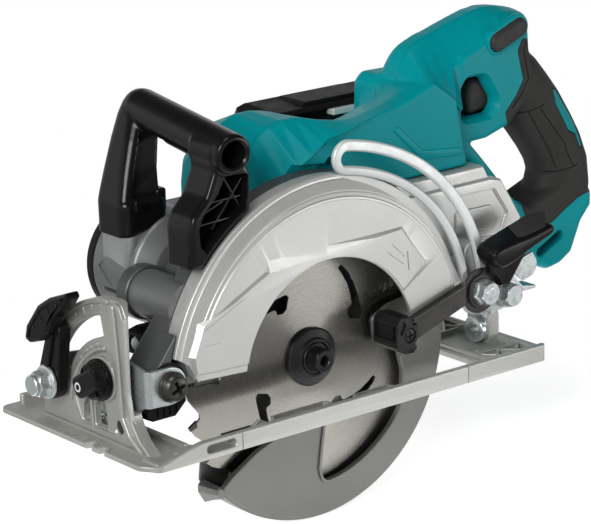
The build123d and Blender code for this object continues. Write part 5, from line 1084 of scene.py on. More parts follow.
HAND_ST = [  # x, lower left (y, z), near crease (y, z), top z
    (106.0, (8.6, 171.0), (12.0, 173.6), 176.5), (109.5, (8.6, 172.8), (14.0, 176.0), 184.0), (114.0, (8.6, 172.0), (16.5, 178.0), 190.2), (119.0, (8.6, 168.4), (18.6, 178.0), 193.2),
    (130.0, (9.2, 158.6), (20.6, 178.2), 197.2), (138.0, (14.0, 152.0), (21.0, 179.0), 199.0), (147.0, (20.0, 150.0), (20.6, 181.2), 201.6), (158.0, (20.0, 160.0), (20.6, 187.2), 204.6),
    (170.0, (20.0, 165.0), (20.6, 192.8), 207.6), (181.0, (20.0, 168.0), (20.8, 197.8), 208.9), (190.0, (20.2, 168.0), (21.0, 201.0), 208.2), (198.0, (21.4, 168.0), (22.4, 201.2), 206.6),
    (204.0, (24.0, 169.0), (25.4, 200.0), 204.9), (209.0, (28.0, 171.0), (29.4, 198.0), 202.2), (213.0, (32.0, 173.0), (33.4, 195.0), 198.4), (216.0, (36.0, 177.0), (37.0, 189.0), 192.6)]
hand = rings_mesh([sec(x, [a, b, (max(30.0, b[0] + 3.0), (b[1] * 0.35 + zt * 0.65)), (max(39.0, b[0] + 6.0), zt), (50.0, zt - 0.6), (55.6, zt - 6.5), (56.0, a[1] + 4), (52.0, a[1])])
                   for x, a, b, zt in HAND_ST])
col = prism(rp([(118, 118.4), (118, 172), (150, 176), (150, 130, 3), (161, 118.0, 4), (174, 103.0), (186, 88.0, 4), (197, 78.6), (194, 68), (185.4, 67), (178.2, 79.6), (169.2, 94.4), (159.8, 108.6), (147.4, 118.4)], 0), XZ, 20, 56, 2.6, 2.6, seg=4)
cheek = prism(rp([(143.5, 128, 3), (143.5, 184), (160, 190), (190, 200.4), (202, 196), (203, 182), (206, 165), (200, 147), (187, 134.6, 4), (166, 128.6, 4)], 0), XZ, 20, 56, 4.5, 4.5, seg=5)
GS = [((194, 171), 17.0, 15.0), ((201.5, 161.0), 20.0, 17.4), ((210.0, 148.4), 21.8, 18.2), ((220.4, 136.2), 21.4, 18.0), ((231.6, 120.6), 20.6, 17.6), ((239.0, 108.6), 20.4, 17.4), ((243.6, 96.8), 21.0, 17.4),
      ((243.6, 84.0), 23.5, 17.4), ((240.0, 72.0), 25.0, 16.8), ((235, 62), 22.0, 15.4)]


def super_ring(c, t, hd, hw, n=40, e=0.86):
    t = Vector((t[0], t[1])).normalized()
    nx, nz = -t.y, t.x
    out = []
    for k in range(n):
        a = 2 * pi * k / n
        cu, su = cos(a), sin(a)
        u = (abs(cu) ** e) * (1 if cu >= 0 else -1) * hd
        v = (abs(su) ** e) * (1 if su >= 0 else -1) * hw
        out.append((c[0] + nx * u, 38 + v, c[1] + nz * u))
    return out


gp = [Vector((g[0][0], g[0][1])) for g in GS]
grip = rings_mesh([super_ring(g[0], gp[min(len(gp) - 1, i + 1)] - gp[max(0, i - 1)], g[1], g[2]) for i, g in enumerate(GS)])
T_IN = [(203, 48, 6), (191, 61), (181, 71.5), (178.4, 79.8), (184, 88), (193, 83), (204, 77), (217, 82), (245, 92)]
tn = P2([p[:2] for p in [(261.6, 77), (261.4, 67), (252.6, 57.8), (243.6, 38.0), (233, 32.0), (222, 30.2), (212, 35)] + T_IN])
tf = P2([p[:2] for p in [(270.2, 74), (270.2, 65.4), (261.2, 55.2), (250.4, 35.8), (240.8, 30.0), (229, 28.0), (214.6, 33.4)] + T_IN])


def drawn_in(o, d):
    """Outline with each corner moved inwards along its own bisector, the count kept."""
    s_, n, out = (1 if area(o) > 0 else -1), len(o), []
    for i in range(n):
        e0, e1 = (o[i] - o[i - 1]).normalized(), (o[(i + 1) % n] - o[i]).normalized()
        n0, n1 = Vector((-e0.y, e0.x)) * s_, Vector((-e1.y, e1.x)) * s_
        b = (n0 + n1).normalized()
        out.append(o[i] + b * (d / max(0.5, b.dot(n0))))
    return out


tail = rings_mesh([[(p.x, y, p.y) for p in o] for o, y in ((drawn_in(tn, 4.0), 21.6), (drawn_in(tn, 1.2), 22.8), (tn, 25.6), (tf, 40.0), (tf, 51.8), (drawn_in(tf, 0.8), 53.6), (drawn_in(tf, 2.4), 54.4))])
teal = add(teal, hump, hand, col, cheek, grip, tail)
teal = remeshed(teal, 1.0, 9, 0.5)

# clear of the blade drum, the case arm and the silver rear frame
rf_clear = prism(P2([(60.0, 60), (61.2, 118.0), (146.8, 118.0), (159.0, 108.0), (168.4, 93.8), (177.4, 79.0), (168, 60)]), XZ, -5, 80)
step_o = P2([(-9.6, 133.4), (24.9, 154.4), (44, 158.2), (62, 161.5), (80, 164.6), (93, 168.2), (104, 172.2), (111.2, 174.5), (129.2, 161.0), (137.4, 118.0), (137.4, 100), (-9.6, 100)])
win = rp([(146.4, 143.6, 3), (146.4, 163.4, 3), (150.4, 168.4, 4), (164, 168.4, 6), (175.4, 151, 7), (169, 143.6, 5)], 0, 5)
wo_ = ccw(win)
win_m = rings_mesh([[(p.x, y, p.y) for p in offset(wo_, f)] for f, y in ((4.0, 14.0), (3.4, 19.8), (2.4, 21.4), (1.0, 23.6), (0.0, 26.6), (0.0, 70.0))])
LO = Matrix.Rotation(radians(21), 2)
lo_a, lo_b = Vector((183, 193)) - LO @ Vector((10, 0)), Vector((183, 193)) + LO @ Vector((10, 0))
lock_o = slot2(lo_a, lo_b, 6.3, 14)
ts_a, ts_b = Vector((214.0, 43.9)), Vector((231.4, 52.4))
cutters = [lathe([(0, -30), (116.0, -30), (116.0, 12.6), (0, 12.6)], seg=256), rf_clear, prism(step_o, XZ, -5, 8.0, 0, 0), win_m,
           prism(rp([(147, 142.6), (147, 167.3), (206, 167.3), (206, 142.6)], 2), XZ, 28.4, 47.6),
           prism(lock_o, XZ, 5, 36.4), prism(rp([(11.6, 128), (26.2, 144.4, 1.5), (36.0, 130.0, 1.5), (36.0, 122)], 0), XZ, 0, 17, 0, 1.0),
           hole(slot2(ts_a, ts_b, 3.1, 10), XZ, 21.3, 54.8, 1.0, 4.0)]
for x, z in ((132, 187.5), (204, 194), (262, 62), (238, 38), (196, 66), (146, 124)):
    cutters.append(lathe([(0, 51.9), (3.65, 51.9), (3.65, 80), (0, 80)], c=(x, z), seg=28))
for zz in (126, 132, 138):
    cutters.append(prism(slot2((70, zz), (112, zz), 1.2, 6), XZ, 73.2, 80))
teal = cut(teal, *cutters)
# rim of the lock-off and a stepped bar of the side panel
rim = cut(prism(offset(ccw(lock_o), 1.9), XZ, 19.0, 24.0, 0.8, 0), prism(lock_o, XZ, 10, 34))
bar1 = prism(rp([(76.4, 151.0), (80.2, 152.8), (99.6, 134.6), (131.6, 131.0), (131.9, 126.0), (98.6, 128.3), (95.4, 132.2)], 0.8), XZ, 6.9, 9.0, 1.0, 0, seg=3)
teal = add(teal, rim, bar1)

G_poly = P2([(196, 188.6), (192.2, 181), (197, 162), (190.4, 152), (181.4, 143), (184, 132), (199, 112), (199, 88), (198, 76), (205, 61), (213, 60), (225, 62.6), (238, 70), (247, 74.6), (256, 76.6), (281, 70.2), (296, 70), (296, 190), (223, 190), (214, 184.2)])
gsel = rp([(p.x, p.y, 2.0) for p in G_poly], 2.0, 4)
rub = teal.copy()
rub.data = teal.data.copy()
SCENE.collection.objects.link(rub)
rub = common(rub, prism(offset(ccw(gsel), -0.22), XZ, 0, 80))
teal = cut(teal, prism(offset(ccw(gsel), 0.22), XZ, -2, 82))


def groove(pts, w=0.75, y0=10.0, y1=21.2):
    """Knife-like cutter along a line in the blade plane."""
    pts = [Vector(p) for p in pts]
    lft, rgt = [], []
    for i, p in enumerate(pts):
        t = (pts[min(len(pts) - 1, i + 1)] - pts[max(0, i - 1)]).normalized()
        n = Vector((-t.y, t.x)) * (w / 2)
        lft.append(p + n)
        rgt.append(p - n)
    return prism(lft + rgt[::-1], XZ, y0, y1)


# raised grip pads: shallow moulded lines over the left and right cheeks of the grip
lines = [[(191.4, 138.6), (198, 126), (206, 114), (213.4, 104), (220.8, 94.8)], [(203.0, 139.6), (212, 126.6), (222.6, 111.4), (229.8, 97.2)],
         [(212.3, 140.4), (224, 126), (234.5, 113.6), (236.4, 108.0), (242.6, 97.0)], [(220.8, 94.6), (232, 95.2), (246, 97.6)], [(190.6, 139.0), (203, 139.9), (215.6, 142.6)],
         [(199.6, 186.0), (197.6, 180.4), (201.6, 162.0), (195.4, 152.4), (187.4, 145.0)]]
core = rings_mesh([super_ring(g[0], gp[min(len(gp) - 1, i + 1)] - gp[max(0, i - 1)], g[1] - 0.9, g[2] - 0.75) for i, g in enumerate(GS)])
gr = [groove(ln_, 0.9, y0, y1) for ln_ in lines for y0, y1 in ((8, 30), (46, 70))]
rub = cut(rub, cut(add(gr[0], *gr[1:]), core))
inl = prism(rp([(225.4, 152.2), (229.4, 149.6), (246.0, 126.0), (252.8, 108.2), (249.6, 107.4), (245.2, 117.6), (238.2, 121.0), (226.2, 141.2)], 1.0), XZ, 10, 38)
ins = rub.copy()
ins.data = rub.data.copy()
SCENE.collection.objects.link(ins)
ins = common(ins, prism(rp([(225.9, 151.2), (229.1, 149.0), (245.6, 125.7), (252.1, 108.7), (250.0, 108.2), (245.6, 118.2), (238.6, 121.6), (226.7, 141.4)], 0.8), XZ, 10, 36))
rub = cut(rub, inl)
piece(rub, "grip_sleeve", M["grip"], node="rear_grip", angle=40)
piece(ins, "grip_inlay", M["teal"], body="saw_body", angle=40)

right = teal.copy()
right.data = teal.data.copy()
SCENE.collection.objects.link(right)
left = common(teal, blk(-60, 330, -60, 37.9, 0, 260, 0, 0))
right = common(right, blk(-60, 330, 38.1, 160, 0, 260, 0, 0))
piece(left, "housing_left_shell", M["teal"], node="housing_left", angle=40)
piece(right, "housing_right_shell", M["teal"], node="housing_right", angle=40)
for k, zz in enumerate((97, 150)):
    piece(blk(84.0 if k else 34.4, 137.6, 73.4, 80.8, zz - 1.9, zz + 1.9, 0.5, 1.2), "battery_rail_%d" % (k + 1), M["guide"], body="saw_body", angle=36)

# trigger and lock-off
tr = prism(spline([(159.4, 143.8), (157.4, 150), (157.8, 158), (161.6, 165.3), (172, 165.2), (180, 164.4), (180, 145.0), (170, 144.2)], 6), XZ, 29.3, 46.7, 4.2, 4.2, seg=6)
piece(tr, "trigger_blade", M["grey_btn"], node="trigger", angle=44)
lb = prism(slot2(lo_a, lo_b, 5.95, 16), XZ, 16.2, 31, 2.6, 0.4, seg=6)
lb = add(lb, *[prism(slot2(lo_a + LO @ Vector((5.5 + 3 * k, -3.0)), lo_a + LO @ Vector((5.5 + 3 * k, 3.0)), 0.55, 5), XZ, 15.9, 18, 0.25, 0) for k in range(4)])
piece(lb, "lock_off_cap", M["grey_btn"], node="lock_off_button", angle=40)

# the six screws that hold the halves together: domed heads with a six-lobe recess
scr = []
for x, z in ((132, 187.5), (204, 194), (262, 62), (238, 38), (196, 66), (146, 124)):
    h = lathe(lathe_prof([(0.01, 42.0), (1.8, 42.0), (1.8, 52.0), (3.5, 52.0), (3.5, 53.6), (3.2, 54.4), (2.4, 55.1), (1.3, 55.45), (0.01, 55.5)], 1), c=(x, z), seg=40)
    lobe = [Vector((x + (1.55 + 0.32 * cos(6 * a)) * cos(a), z + (1.55 + 0.32 * cos(6 * a)) * sin(a))) for a in (2 * pi * k / 48 for k in range(48))]
    scr.append(cut(h, prism(lobe, XZ, 53.2, 57)))
piece(join(scr), "housing_screw_set", M["steel"], node="housing_screws", angle=30)

# ---------------------------------------------------------------------------
# silver rear frame under the handle
# ---------------------------------------------------------------------------
rf = prism(rp([(60, 109.2), (150, 109.4, 1), (159.2, 107.2, 2), (168.0, 93.6, 0), (176.8, 78.8, 2), (168, 66, 4), (150, 60, 5), (128, 60, 5), (112, 66, 4), (80, 72, 4), (60, 74, 2)], 0), XZ, 0.2, 57, 2.4, 2.4, seg=4)
rf = add(rf, prism(rp([(58, 92), (62, 117.7, 1), (146.4, 117.7, 2), (151.5, 109, 1), (151.5, 96)], 0), XZ, 2.8, 57, 1.6, 1.6, seg=3),
         prism(rp([(9.2, 46), (9.2, 90.4, 2), (64, 90.4, 2), (64, 76), (40, 58.4, 3)], 0), XZ, 12.6, 45, 1.2, 1.2))
field = rp([(112.6, 102.4, 2), (152.6, 102.0, 3), (164.4, 84.6, 3), (158, 71, 4), (118, 72.6, 3)], 0, 5)
pad = rp([(121.0, 92.4, 2), (150.6, 92.0, 2), (157.6, 82.6, 2), (153, 76.4, 3), (121.0, 78.0, 2)], 0, 5)
rf = cut(rf, prism(offset(ccw(field), 0.9), XZ, -4, 1.0), prism(field, XZ, -4, 1.9, 0, 0.5))
rf = add(rf, prism(pad, XZ, 0.7, 6, 0.8, 0))
rf = cut(rf, lathe([(0, -40), (117.2, -40), (117.2, 12.5), (0, 12.5)], seg=256), prism(hull2((0, 26), 23.0, (LX, LZ), 35.0, 24), XZ, -40, 80),
         *[blk(148 + 5 * k, 150.4 + 5 * k, 10, 47, 55, 63.2 + 1.2 * k, 0.4, 0.6) for k in range(3)])
boss_b = cut(prism(hull2((122, 46), 8.9, (124, 68), 7.4, 20), XZ, -11.7, 4.0, 1.2, 0), lathe([(0, -40), (117.2, -40), (117.2, 12.5), (0, 12.5)], seg=256))
rf = add(rf, boss_b)
rf = cut(rf, lathe([(0, -60), (4.05, -60), (4.05, 4.0), (0, 4.0)], c=(122, 46), seg=40))
piece(rf, "rear_frame_casting", M["silver"], node="rear_frame", angle=34)

# ---------------------------------------------------------------------------
# depth guide: bright curved bar with a long slot
# ---------------------------------------------------------------------------
PV, HG, BO = (-117.0, 38.0), (147.5, 38.0), (122.0, 46.0)


def turned(p, c, a):
    a = radians(a)
    dx, dz = p[0] - c[0], p[1] - c[1]
    return Vector((c[0] + dx * cos(a) - dz * sin(a), c[1] + dx * sin(a) + dz * cos(a)))


def guide_pt(th):
    return turned(turned(BO, PV, th), HG, 0.60 * th)


def strip_outline(path, hw, cap0=True, cap1=True, n=14):
    N = len(path)
    lft, rgt = [], []
    for i, p in enumerate(path):
        t = (path[min(N - 1, i + 1)] - path[max(0, i - 1)]).normalized()
        nn = Vector((-t.y, t.x)) * hw
        lft.append(p + nn)
        rgt.append(p - nn)
    t0, t1 = (path[1] - path[0]).normalized(), (path[-1] - path[-2]).normalized()
    a1, a0 = degrees(atan2(t1.y, t1.x)), degrees(atan2(t0.y, t0.x))
    c1 = arc(path[-1].x, path[-1].y, hw, a1 - 90, a1 + 90, n)[1:-1] if cap1 else []
    c0 = arc(path[0].x, path[0].y, hw, a0 + 90, a0 + 270, n)[1:-1] if cap0 else []
    return rgt + c1 + lft[::-1] + c0


gpath = [guide_pt(-1.5 + 38.0 * i / 40) for i in range(41)]
dg = prism(strip_outline([p + (p - Vector((0, 26))).normalized() * 0.6 for p in gpath], 10.9), XZ, -16.0, -12.5, 1.5, 1.2, seg=4)
dg = add(dg, prism(hull2(HG, 9.0, (gpath[0].x, gpath[0].y), 9.9, 20), XZ, -16.0, -12.5, 1.2, 1.0, seg=4))
so = ccw(strip_outline(gpath, 4.3))
dg = cut(dg, rings_mesh([[(p.x, y, p.y) for p in offset(so, f)] for f, y in ((1.4, -20), (1.3, -15.9), (0.7, -15.3), (0.1, -14.6), (0.0, -13.4), (0.6, -12.6), (0.7, -8))]),
         hole(circ(HG[0], HG[1], 4.1, 40), XZ, -16.0, -12.5, 0.4))
piece(dg, "depth_guide_bar", M["guide"], node="depth_guide", angle=40)

# ---------------------------------------------------------------------------
# depth lever: hub, arm, plate, moulded wing
# ---------------------------------------------------------------------------
la = prism(circ(BO[0], BO[1], 11.0, 64), XZ, -19.4, -16.5, 0.4)
la = add(la, prism(circ(BO[0], BO[1], 14.4, 80), XZ, -20.6, -18.8, 0.5), prism(hull2(BO, 9.5, (141, 59), 8.5, 20), XZ, -22.0, -18.7, 0.6))
la = add(la, prism(circ(BO[0], BO[1], 10.9, 64), XZ, -22.4, -20.0, 0.5), *[prism(circ(BO[0] + 12.7 * cos(radians(a)), BO[1] + 12.7 * sin(radians(a)), 0.7, 12), XZ, -21.1, -20.2, 0.3, 0) for a in (70, 86, 102, 118, 134, 150)])
la = cut(la, prism(circ(BO[0], BO[1], 9.3, 64), XZ, -23, -21.6))
la = cut(la, lathe([(0, -40), (4.1, -40), (4.1, 10), (0, 10)], c=BO, seg=40))
piece(la, "depth_lever_hub", M["steel"], node="depth_lever_arm", angle=34)
dn = hex_head(BO, 15.2, -25.4, -20.4, 10)
dn = add(dn, hex_head(BO, 13.4, -30.6, -25.0, 10))
piece(dn, "depth_lever_nut", M["zinc"], body="depth_lever", angle=30)
dpl = [Vector((141.8, 57.4))] + [Vector((165, 63))] + spline([(165, 63), (169.0, 55.5), (166.0, 48.6), (157, 45.5)], 6, False)[1:]
dp = prism(rp([(p.x, p.y, 0.8) for p in dpl], 0.8, 3), XZ, -22.0, -20.0, 0.5)
piece(dp, "depth_lever_plate", M["zinc"], body="depth_lever", angle=34)
near_p = spline([(120.9, 68.6), (123.6, 74.2), (139, 77.0), (155, 78.8), (168.6, 81.6), (172.0, 79.6), (169.6, 75.8), (154, 70.6), (138, 64.4), (127, 62.4)], 5)
far_p = spline([(120.6, 69.6), (122.8, 75.4), (139, 80.6), (153, 84.4), (166.4, 87.0), (178.6, 79.6), (176.6, 75.8), (160, 68.6), (142, 61.6), (128, 60.6)], 5)
nc, fc = ccw(near_p), ccw(far_p)


def lerp_ring(f, y, inset):
    o = [a + (b - a) * f for a, b in zip(nc, fc)]
    return [(p.x, y, p.y) for p in (offset(o, -inset) if inset else o)]


cap = rings_mesh([lerp_ring(0, -35.0, 2.2), lerp_ring(0.02, -34.8, 1.3), lerp_ring(0.05, -34.2, 0.5), lerp_ring(0.1, -33.2, 0.0), lerp_ring(0.4, -28.4, 0.0), lerp_ring(0.7, -23.4, 0.0), lerp_ring(0.97, -19.0, 0.0), lerp_ring(0.99, -18.4, 0.4), lerp_ring(1, -18.1, 1.1)])
cap = bevelled(cap, 0.8, 2, 38)
arm_c = prism(rp([(128, 49, 3), (124, 62, 3), (132, 70), (160, 72), (150, 60, 2), (140.0, 47.4, 3)], 0), XZ, -27.6, -22.2, 1.2, 0.3, seg=3)
cap = add(cap, arm_c)
cap = cut(cap, prism(circ(BO[0], BO[1], 12.0, 64), XZ, -40, -16), prism(hull2(BO, 10.0, (141, 59), 9.0, 20), XZ, -22.4, -16), prism(P2([(139, 54), (139, 60), (166, 66.4), (173, 60), (169, 40), (152, 40)]), XZ, -22.3, -16))
top_pl = plane((125, -26.4, 75.6), (1, 0, 0.215), (0, 1, 0.38))
piece(cap, "depth_lever_wing", M["black"], node="depth_lever_cap", angle=40)
pd = prism(rp([(18.0, -6.6), (41.0, -7.4), (52.0, 4.0), (40.0, 7.6), (22.0, 7.0)], 2.4), top_pl, -4.4, 0.7, 0, 0.5)
piece(pd, "depth_lever_pad", M["grip"], body="depth_lever", angle=40)

cb = add(prism(circ(BO[0], BO[1], 3.95, 40), XZ, -31.0, 3.2, 0.6, 0.2), hex_head(BO, 13.0, 2.6, 7.0, 0, top=True))
piece(cb, "depth_clamp_stud", M["zinc"], node="depth_clamp_bolt", angle=30)

# ---------------------------------------------------------------------------
# retracting lever and thumb knob of the lower guard
# ---------------------------------------------------------------------------
lv = prism(rp([(104.3, 41.6, 1), (104.3, 56.4, 1), (100, 56.0, 0), (58.6, 43.6, 2), (47.4, 38.4, 5), (47.6, 31.4, 6), (57.2, 26.0, 5), (66.0, 29.0, 2)], 0, 5), XZ, -26.5, -24.5, 0.4)
fl = rings_mesh([[(58.2, y, 43.1), (101.0, y, 55.5), (101.5, y, 53.6), (58.7, y, 41.2)] for y in (-29.9, -25.0)])
fl = bevelled(fl, 0.35, 2)
lv = add(lv, fl)
lv = cut(lv, hole(circ(55, 33.5, 2.6, 28), XZ, -26.5, -24.5, 0.2), prism(slot2((86.4, 52.6), (88.6, 53.2), 1.4, 8), XZ, -32, -27.4))
piece(lv, "guard_lever_bar", M["steel"], node="guard_lever", angle=30)
kb = prism(rp([(44.4, 27.6, 1.0), (44.8, 41.4, 1.2), (48.6, 46.0, 1.2), (58.4, 44.4, 1.2), (61.2, 39.8, 1.2), (61.2, 29.4, 0.8), (58.4, 26.6, 1.2)], 0), XZ, -30.2, -7.7, 0.8, 0.6, seg=3)
hook = prism(rp([(45.4, 30.0, 0.6), (44.6, 27.0, 0.8), (51.6, 22.0, 1), (58.4, 21.9, 1.2), (61.0, 25.0, 1.2), (58.8, 28.8, 0.8), (52, 31)], 0), XZ, -30.2, -7.7, 0.7, 0.6, seg=3)
kb = add(kb, hook)
kb = cut(kb, prism(hull2((55, 35), 9.5, (103, 49.5), 6.5, 20), XZ, -26.95, -24.05), prism(P2([(56.3, 45.4), (102, 58.4), (104, 50), (57.5, 38.8)]), XZ, -34, -26),
         lathe([(0, -40), (2.55, -40), (2.55, -16), (0, -16)], c=(55, 33.5), seg=28), lathe([(0, -40), (4.8, -40), (4.8, -28.6), (0, -28.6)], c=(55, 33.5), seg=36),
         prism(rp([(46.8, 36.0), (46.8, 41.0), (50.2, 43.8), (52.2, 40.4), (49.0, 34.4)], 0.8), XZ, -33, -28.9),
         *[prism(slot2((53.4 + 2.2 * k, 21.0), (55.4 + 2.2 * k, 24.6), 0.4, 5), XZ, -32, -29.5) for k in range(3)],
         prism(P2([(40.0, 30.6), (46.6, 31.2), (46.6, 40.2), (40.0, 40.8)]), XZ, -28.4, -9.6))
piece(kb, "guard_thumb_knob", M["oxide"], node="guard_knob", angle=30)
gsx = [lathe(lathe_prof([(0.01, -30.1), (3.0, -30.1), (4.1, -29.7), (4.6, -29.0), (4.6, -28.65), (2.5, -28.65), (2.5, -16.6), (0.01, -16.6)], 1), c=(55, 33.5), seg=40)]
cross = cut(gsx[0], add(prism(rp([(52.4, 32.9), (57.6, 32.9), (57.6, 34.1), (52.4, 34.1)], 0.3), XZ, -31, -28.9), prism(rp([(54.4, 30.9), (55.6, 30.9), (55.6, 36.1), (54.4, 36.1)], 0.3), XZ, -31, -28.9)))
piece(cross, "guard_screw", M["oxide"], node="guard_lever_screw", angle=30)

# ---------------------------------------------------------------------------
# rear bracket, hinge bolt and rear pivot
# ---------------------------------------------------------------------------
rb = prism(rp([(138.0, 25, 1), (150, 27, 4), (157, 31, 4), (163, 34.6, 3), (177.6, 34.6, 0.6), (177.6, 36.4, 0.6), (166, 38.4, 3), (158, 47, 4), (150, 51, 4), (138.0, 53, 3)], 0), XZ, -12.0, -9.4, 0.5)
rb = add(rb, blk(160, 178, -12.0, 2.0, 34.5, 36.5, 0.6, 1.4), prism(hull2((0, 13.5), 8.4, (0, 44), 11.5, 20), YZ, 137.6, 140.6, 0.6))
rb = cut(rb, lathe([(0, 130), (5.7, 130), (5.7, 150), (0, 150)], c=(0, 13.5), ax="X", seg=48), lathe([(0, -20), (4.05, -20), (4.05, 0), (0, 0)], c=HG, seg=40),
         hole(slot2((0, 34), (0, 42), 3.0, 10), YZ, 137.6, 140.6, 0.5))
piece(rb, "rear_strap", M["zinc"], node="rear_bracket", angle=34)
rpv = lathe(lathe_prof([(4.9, 134.2), (8.0, 134.2, 0.5), (8.6, 134.8, 0.3), (8.6, 137.5), (5.6, 137.5), (5.6, 151.4), (0.01, 151.4), (0.01, 142.0), (4.9, 142.0)], 2), c=(0, 13.5), ax="X", seg=72)
piece(rpv, "rear_pivot_eye", M["zinc"], node="rear_pivot_bolt", angle=34)
hb = add(hex_head(HG, 13.0, -24.6, -18.1, 12), prism(circ(HG[0], HG[1], 8.8, 56), XZ, -18.3, -16.3, 0.5), prism(circ(HG[0], HG[1], 3.95, 40), XZ, -17, -5, 0.1, 0.5), hex_head(HG, 11.0, -9.3, -4.4, 20, top=True))
piece(hb, "guide_hinge_screw", M["zinc"], node="guide_hinge_bolt", angle=30)

# ---------------------------------------------------------------------------
# battery pack
# ---------------------------------------------------------------------------
bt_yz = rp([(76.1, 85.2, 2), (76.1, 152.6, 3), (80, 154.8, 3), (112, 156.6, 5), (146, 134, 8), (146, 92, 8), (138, 85.2, 6)], 0, 6)
bt = prism(bt_yz, YZ, 31, 148, 4.0, 4.0, seg=5)
bt = common(bt, prism(rp([(30, 70), (30, 98, 10), (60, 150), (150, 150), (150, 70)], 0, 6), XY, 60, 200), prism(rp([(29, 80), (29, 138, 6), (47, 160, 12), (70, 175), (150, 175), (150, 80)], 0, 6), XZ, 60, 160))
bt = add(bt, prism(rp([(66, 118), (66, 155.9, 2), (70, 157.4, 1.6), (120, 157.4, 3), (124, 150), (124, 118)], 0, 4), XZ, 83, 110, 1.2, 1.2))
bc = [blk(20, 142, 70, 81.7, 94.5, 99.5, 0.3, 0.3), blk(20, 142, 70, 81.7, 147.5, 152.5, 0.3, 0.3), blk(20, 80, 60, 84, 105, 145, 0.6, 1.0), blk(144, 160, 99.5, 124.5, 111.5, 136.5, 0.3, 1.2)]
for zz in (104, 112, 120, 128, 136):
    bc.append(blk(70, 132, 144.6, 150, zz - 1.1, zz + 1.1, 0.4, 0.8))
for yy in (90, 96, 128, 134):
    bc.append(blk(147.2, 152, yy - 1.2, yy + 1.2, 96, 150, 0.4, 0.8))
bt = cut(bt, *bc)
piece(bt, "battery_case", M["black_tex"], node="battery_pack", angle=36)
br = prism(rp([(100.1, 112.1), (123.9, 112.1), (123.9, 135.9), (100.1, 135.9)], 3.0), YZ, 147.2, 150.8, 0, 0.9)
br = cut(br, *[blk(150.2, 153, 104, 120, zz - 0.7, zz + 0.7, 0.2, 0.4) for zz in (118, 121, 124, 127, 130)])
piece(br, "battery_latch", M["grey_btn"], node="battery_release", angle=36)

# ---------------------------------------------------------------------------
# every remaining node keeps its shape and gets its finish
# ---------------------------------------------------------------------------
for n, ob in NODE.items():
    ob.data.materials.clear()
    ob.data.materials.append(M[MAT_OF_SLOT[SLOT_OF[n]]])

# ---------------------------------------------------------------------------
# floor, light, camera
# ---------------------------------------------------------------------------
bm = bmesh.new()
bmesh.ops.create_circle(bm, cap_ends=True, segments=96, radius=0.27)
floor = link(bm, "floor")
floor.location = (0.055, 0.05, CAD_BOX[0][2] - 0.0006)
fm = material("floor_matt", (0.90, 0.90, 0.90), rough=0.85, tint=(0.89, 0.89, 0.89), tone=0.05, tscale=2.0, spec=0.2)
fb_ = next(n for n in fm.node_tree.nodes if n.type == "BSDF_PRINCIPLED")
fb_.inputs["Emission Color"].default_value = (1, 1, 1, 1)
fb_.inputs["Emission Strength"].default_value = 0.74
floor.data.materials.append(fm)

world = bpy.data.worlds.new("studio")
SCENE.world = world
world.use_nodes = True
wn = world.node_tree
wn.nodes.clear()
wo = wn.nodes.new("ShaderNodeOutputWorld")
b1 = wn.nodes.new("ShaderNodeBackground")
b1.inputs["Strength"].default_value = 0.75
wt = wn.nodes.new("ShaderNodeTexCoord")
ws = wn.nodes.new("ShaderNodeSeparateXYZ")
wn.links.new(wt.outputs["Generated"], ws.inputs[0])
wm = wn.nodes.new("ShaderNodeMapRange")
wm.inputs["From Min"].default_value, wm.inputs["From Max"].default_value = -1.0, 1.0
wn.links.new(ws.outputs["Z"], wm.inputs["Value"])
ramps = []
for stops in (((0.0, 0.62), (0.34, 0.44), (0.48, 0.72), (0.54, 0.66), (0.60, 0.24), (0.72, 0.09), (0.85, 0.045)),
              ((0.0, 0.62), (0.34, 0.46), (0.48, 0.80), (0.56, 1.0), (0.65, 0.95), (0.72, 0.28), (0.85, 0.045))):
    wr = wn.nodes.new("ShaderNodeValToRGB")
    for k, (pos, v) in enumerate(stops):
        e = wr.color_ramp.elements[k] if k < 2 else wr.color_ramp.elements.new(pos)
        e.position, e.color = pos, (v, v, v, 1)
    wn.links.new(wm.outputs[0], wr.inputs["Fac"])
    ramps.append(wr)
wy = wn.nodes.new("ShaderNodeMapRange")
wy.inputs["From Min"].default_value, wy.inputs["From Max"].default_value = -0.35, 0.35
wn.links.new(ws.outputs["Y"], wy.inputs["Value"])
wx = wn.nodes.new("ShaderNodeMixRGB")
wn.links.new(wy.outputs[0], wx.inputs["Fac"])
wn.links.new(ramps[0].outputs["Color"], wx.inputs["Color1"])
wn.links.new(ramps[1].outputs["Color"], wx.inputs["Color2"])
wn.links.new(wx.outputs["Color"], b1.inputs["Color"])
b2 = wn.nodes.new("ShaderNodeBackground")
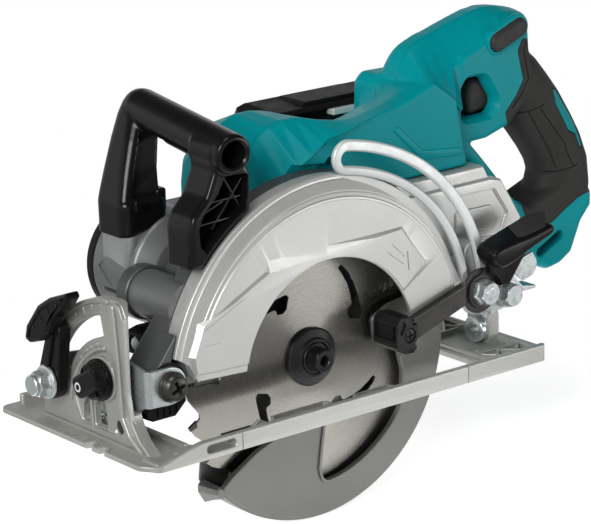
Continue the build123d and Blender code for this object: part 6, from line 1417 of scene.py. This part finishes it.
b2.inputs["Color"].default_value = (1, 1, 1, 1)
b2.inputs["Strength"].default_value = 1.0
lp = wn.nodes.new("ShaderNodeLightPath")
mixs = wn.nodes.new("ShaderNodeMixShader")
wn.links.new(lp.outputs["Is Camera Ray"], mixs.inputs[0])
wn.links.new(b1.outputs[0], mixs.inputs[1])
wn.links.new(b2.outputs[0], mixs.inputs[2])
wn.links.new(mixs.outputs[0], wo.inputs[0])


def softbox(name, pos, target, w, h, power, col=(1, 1, 1)):
    ld = bpy.data.lights.new(name, "AREA")
    ld.shape, ld.size, ld.size_y, ld.energy, ld.color = "RECTANGLE", w, h, power, col
    lo = bpy.data.objects.new(name, ld)
    SCENE.collection.objects.link(lo)
    lo.location = pos
    d = Vector(target) - Vector(pos)
    lo.rotation_euler = d.to_track_quat("-Z", "Y").to_euler()
    return lo


softbox("key", (-1.6, -0.9, 0.95), (0.02, 0.0, 0.07), 0.9, 0.8, 28)
softbox("side", (1.45, -1.5, -0.04), (0.06, 0.0, 0.05), 1.3, 0.4, 8.5)
softbox("top", (-0.4, -0.2, 1.9), (0.05, 0.0, 0.1), 0.8, 0.8, 8)

cam = bpy.data.cameras.new("camera")
cam.sensor_width = 36.0
cam.sensor_fit = "HORIZONTAL"
cam.lens = 2822.59 * 36.0 / 591.0
cam.clip_start, cam.clip_end = 0.05, 60.0
co = bpy.data.objects.new("camera", cam)
SCENE.collection.objects.link(co)
AZ, EL, RO = radians(-38.74), radians(16.12), radians(-1.35)
back = Vector((-0.6012, -0.7493, 0.2777)).normalized()
R0 = Vector((0, 0, 1)).cross(back).normalized()
U0 = back.cross(R0).normalized()
right = R0 * cos(RO) + U0 * sin(RO)
up = U0 * cos(RO) - R0 * sin(RO)
mw = Matrix.Identity(4)
for i, v in enumerate((right, up, back)):
    for r in range(3):
        mw[r][i] = v[r]
mw.translation = Vector((-1.0173, -1.2575, 0.5523))
co.matrix_world = mw
SCENE.camera = co
SCENE.view_settings.view_transform = "Standard"
SCENE.view_settings.look = "None"
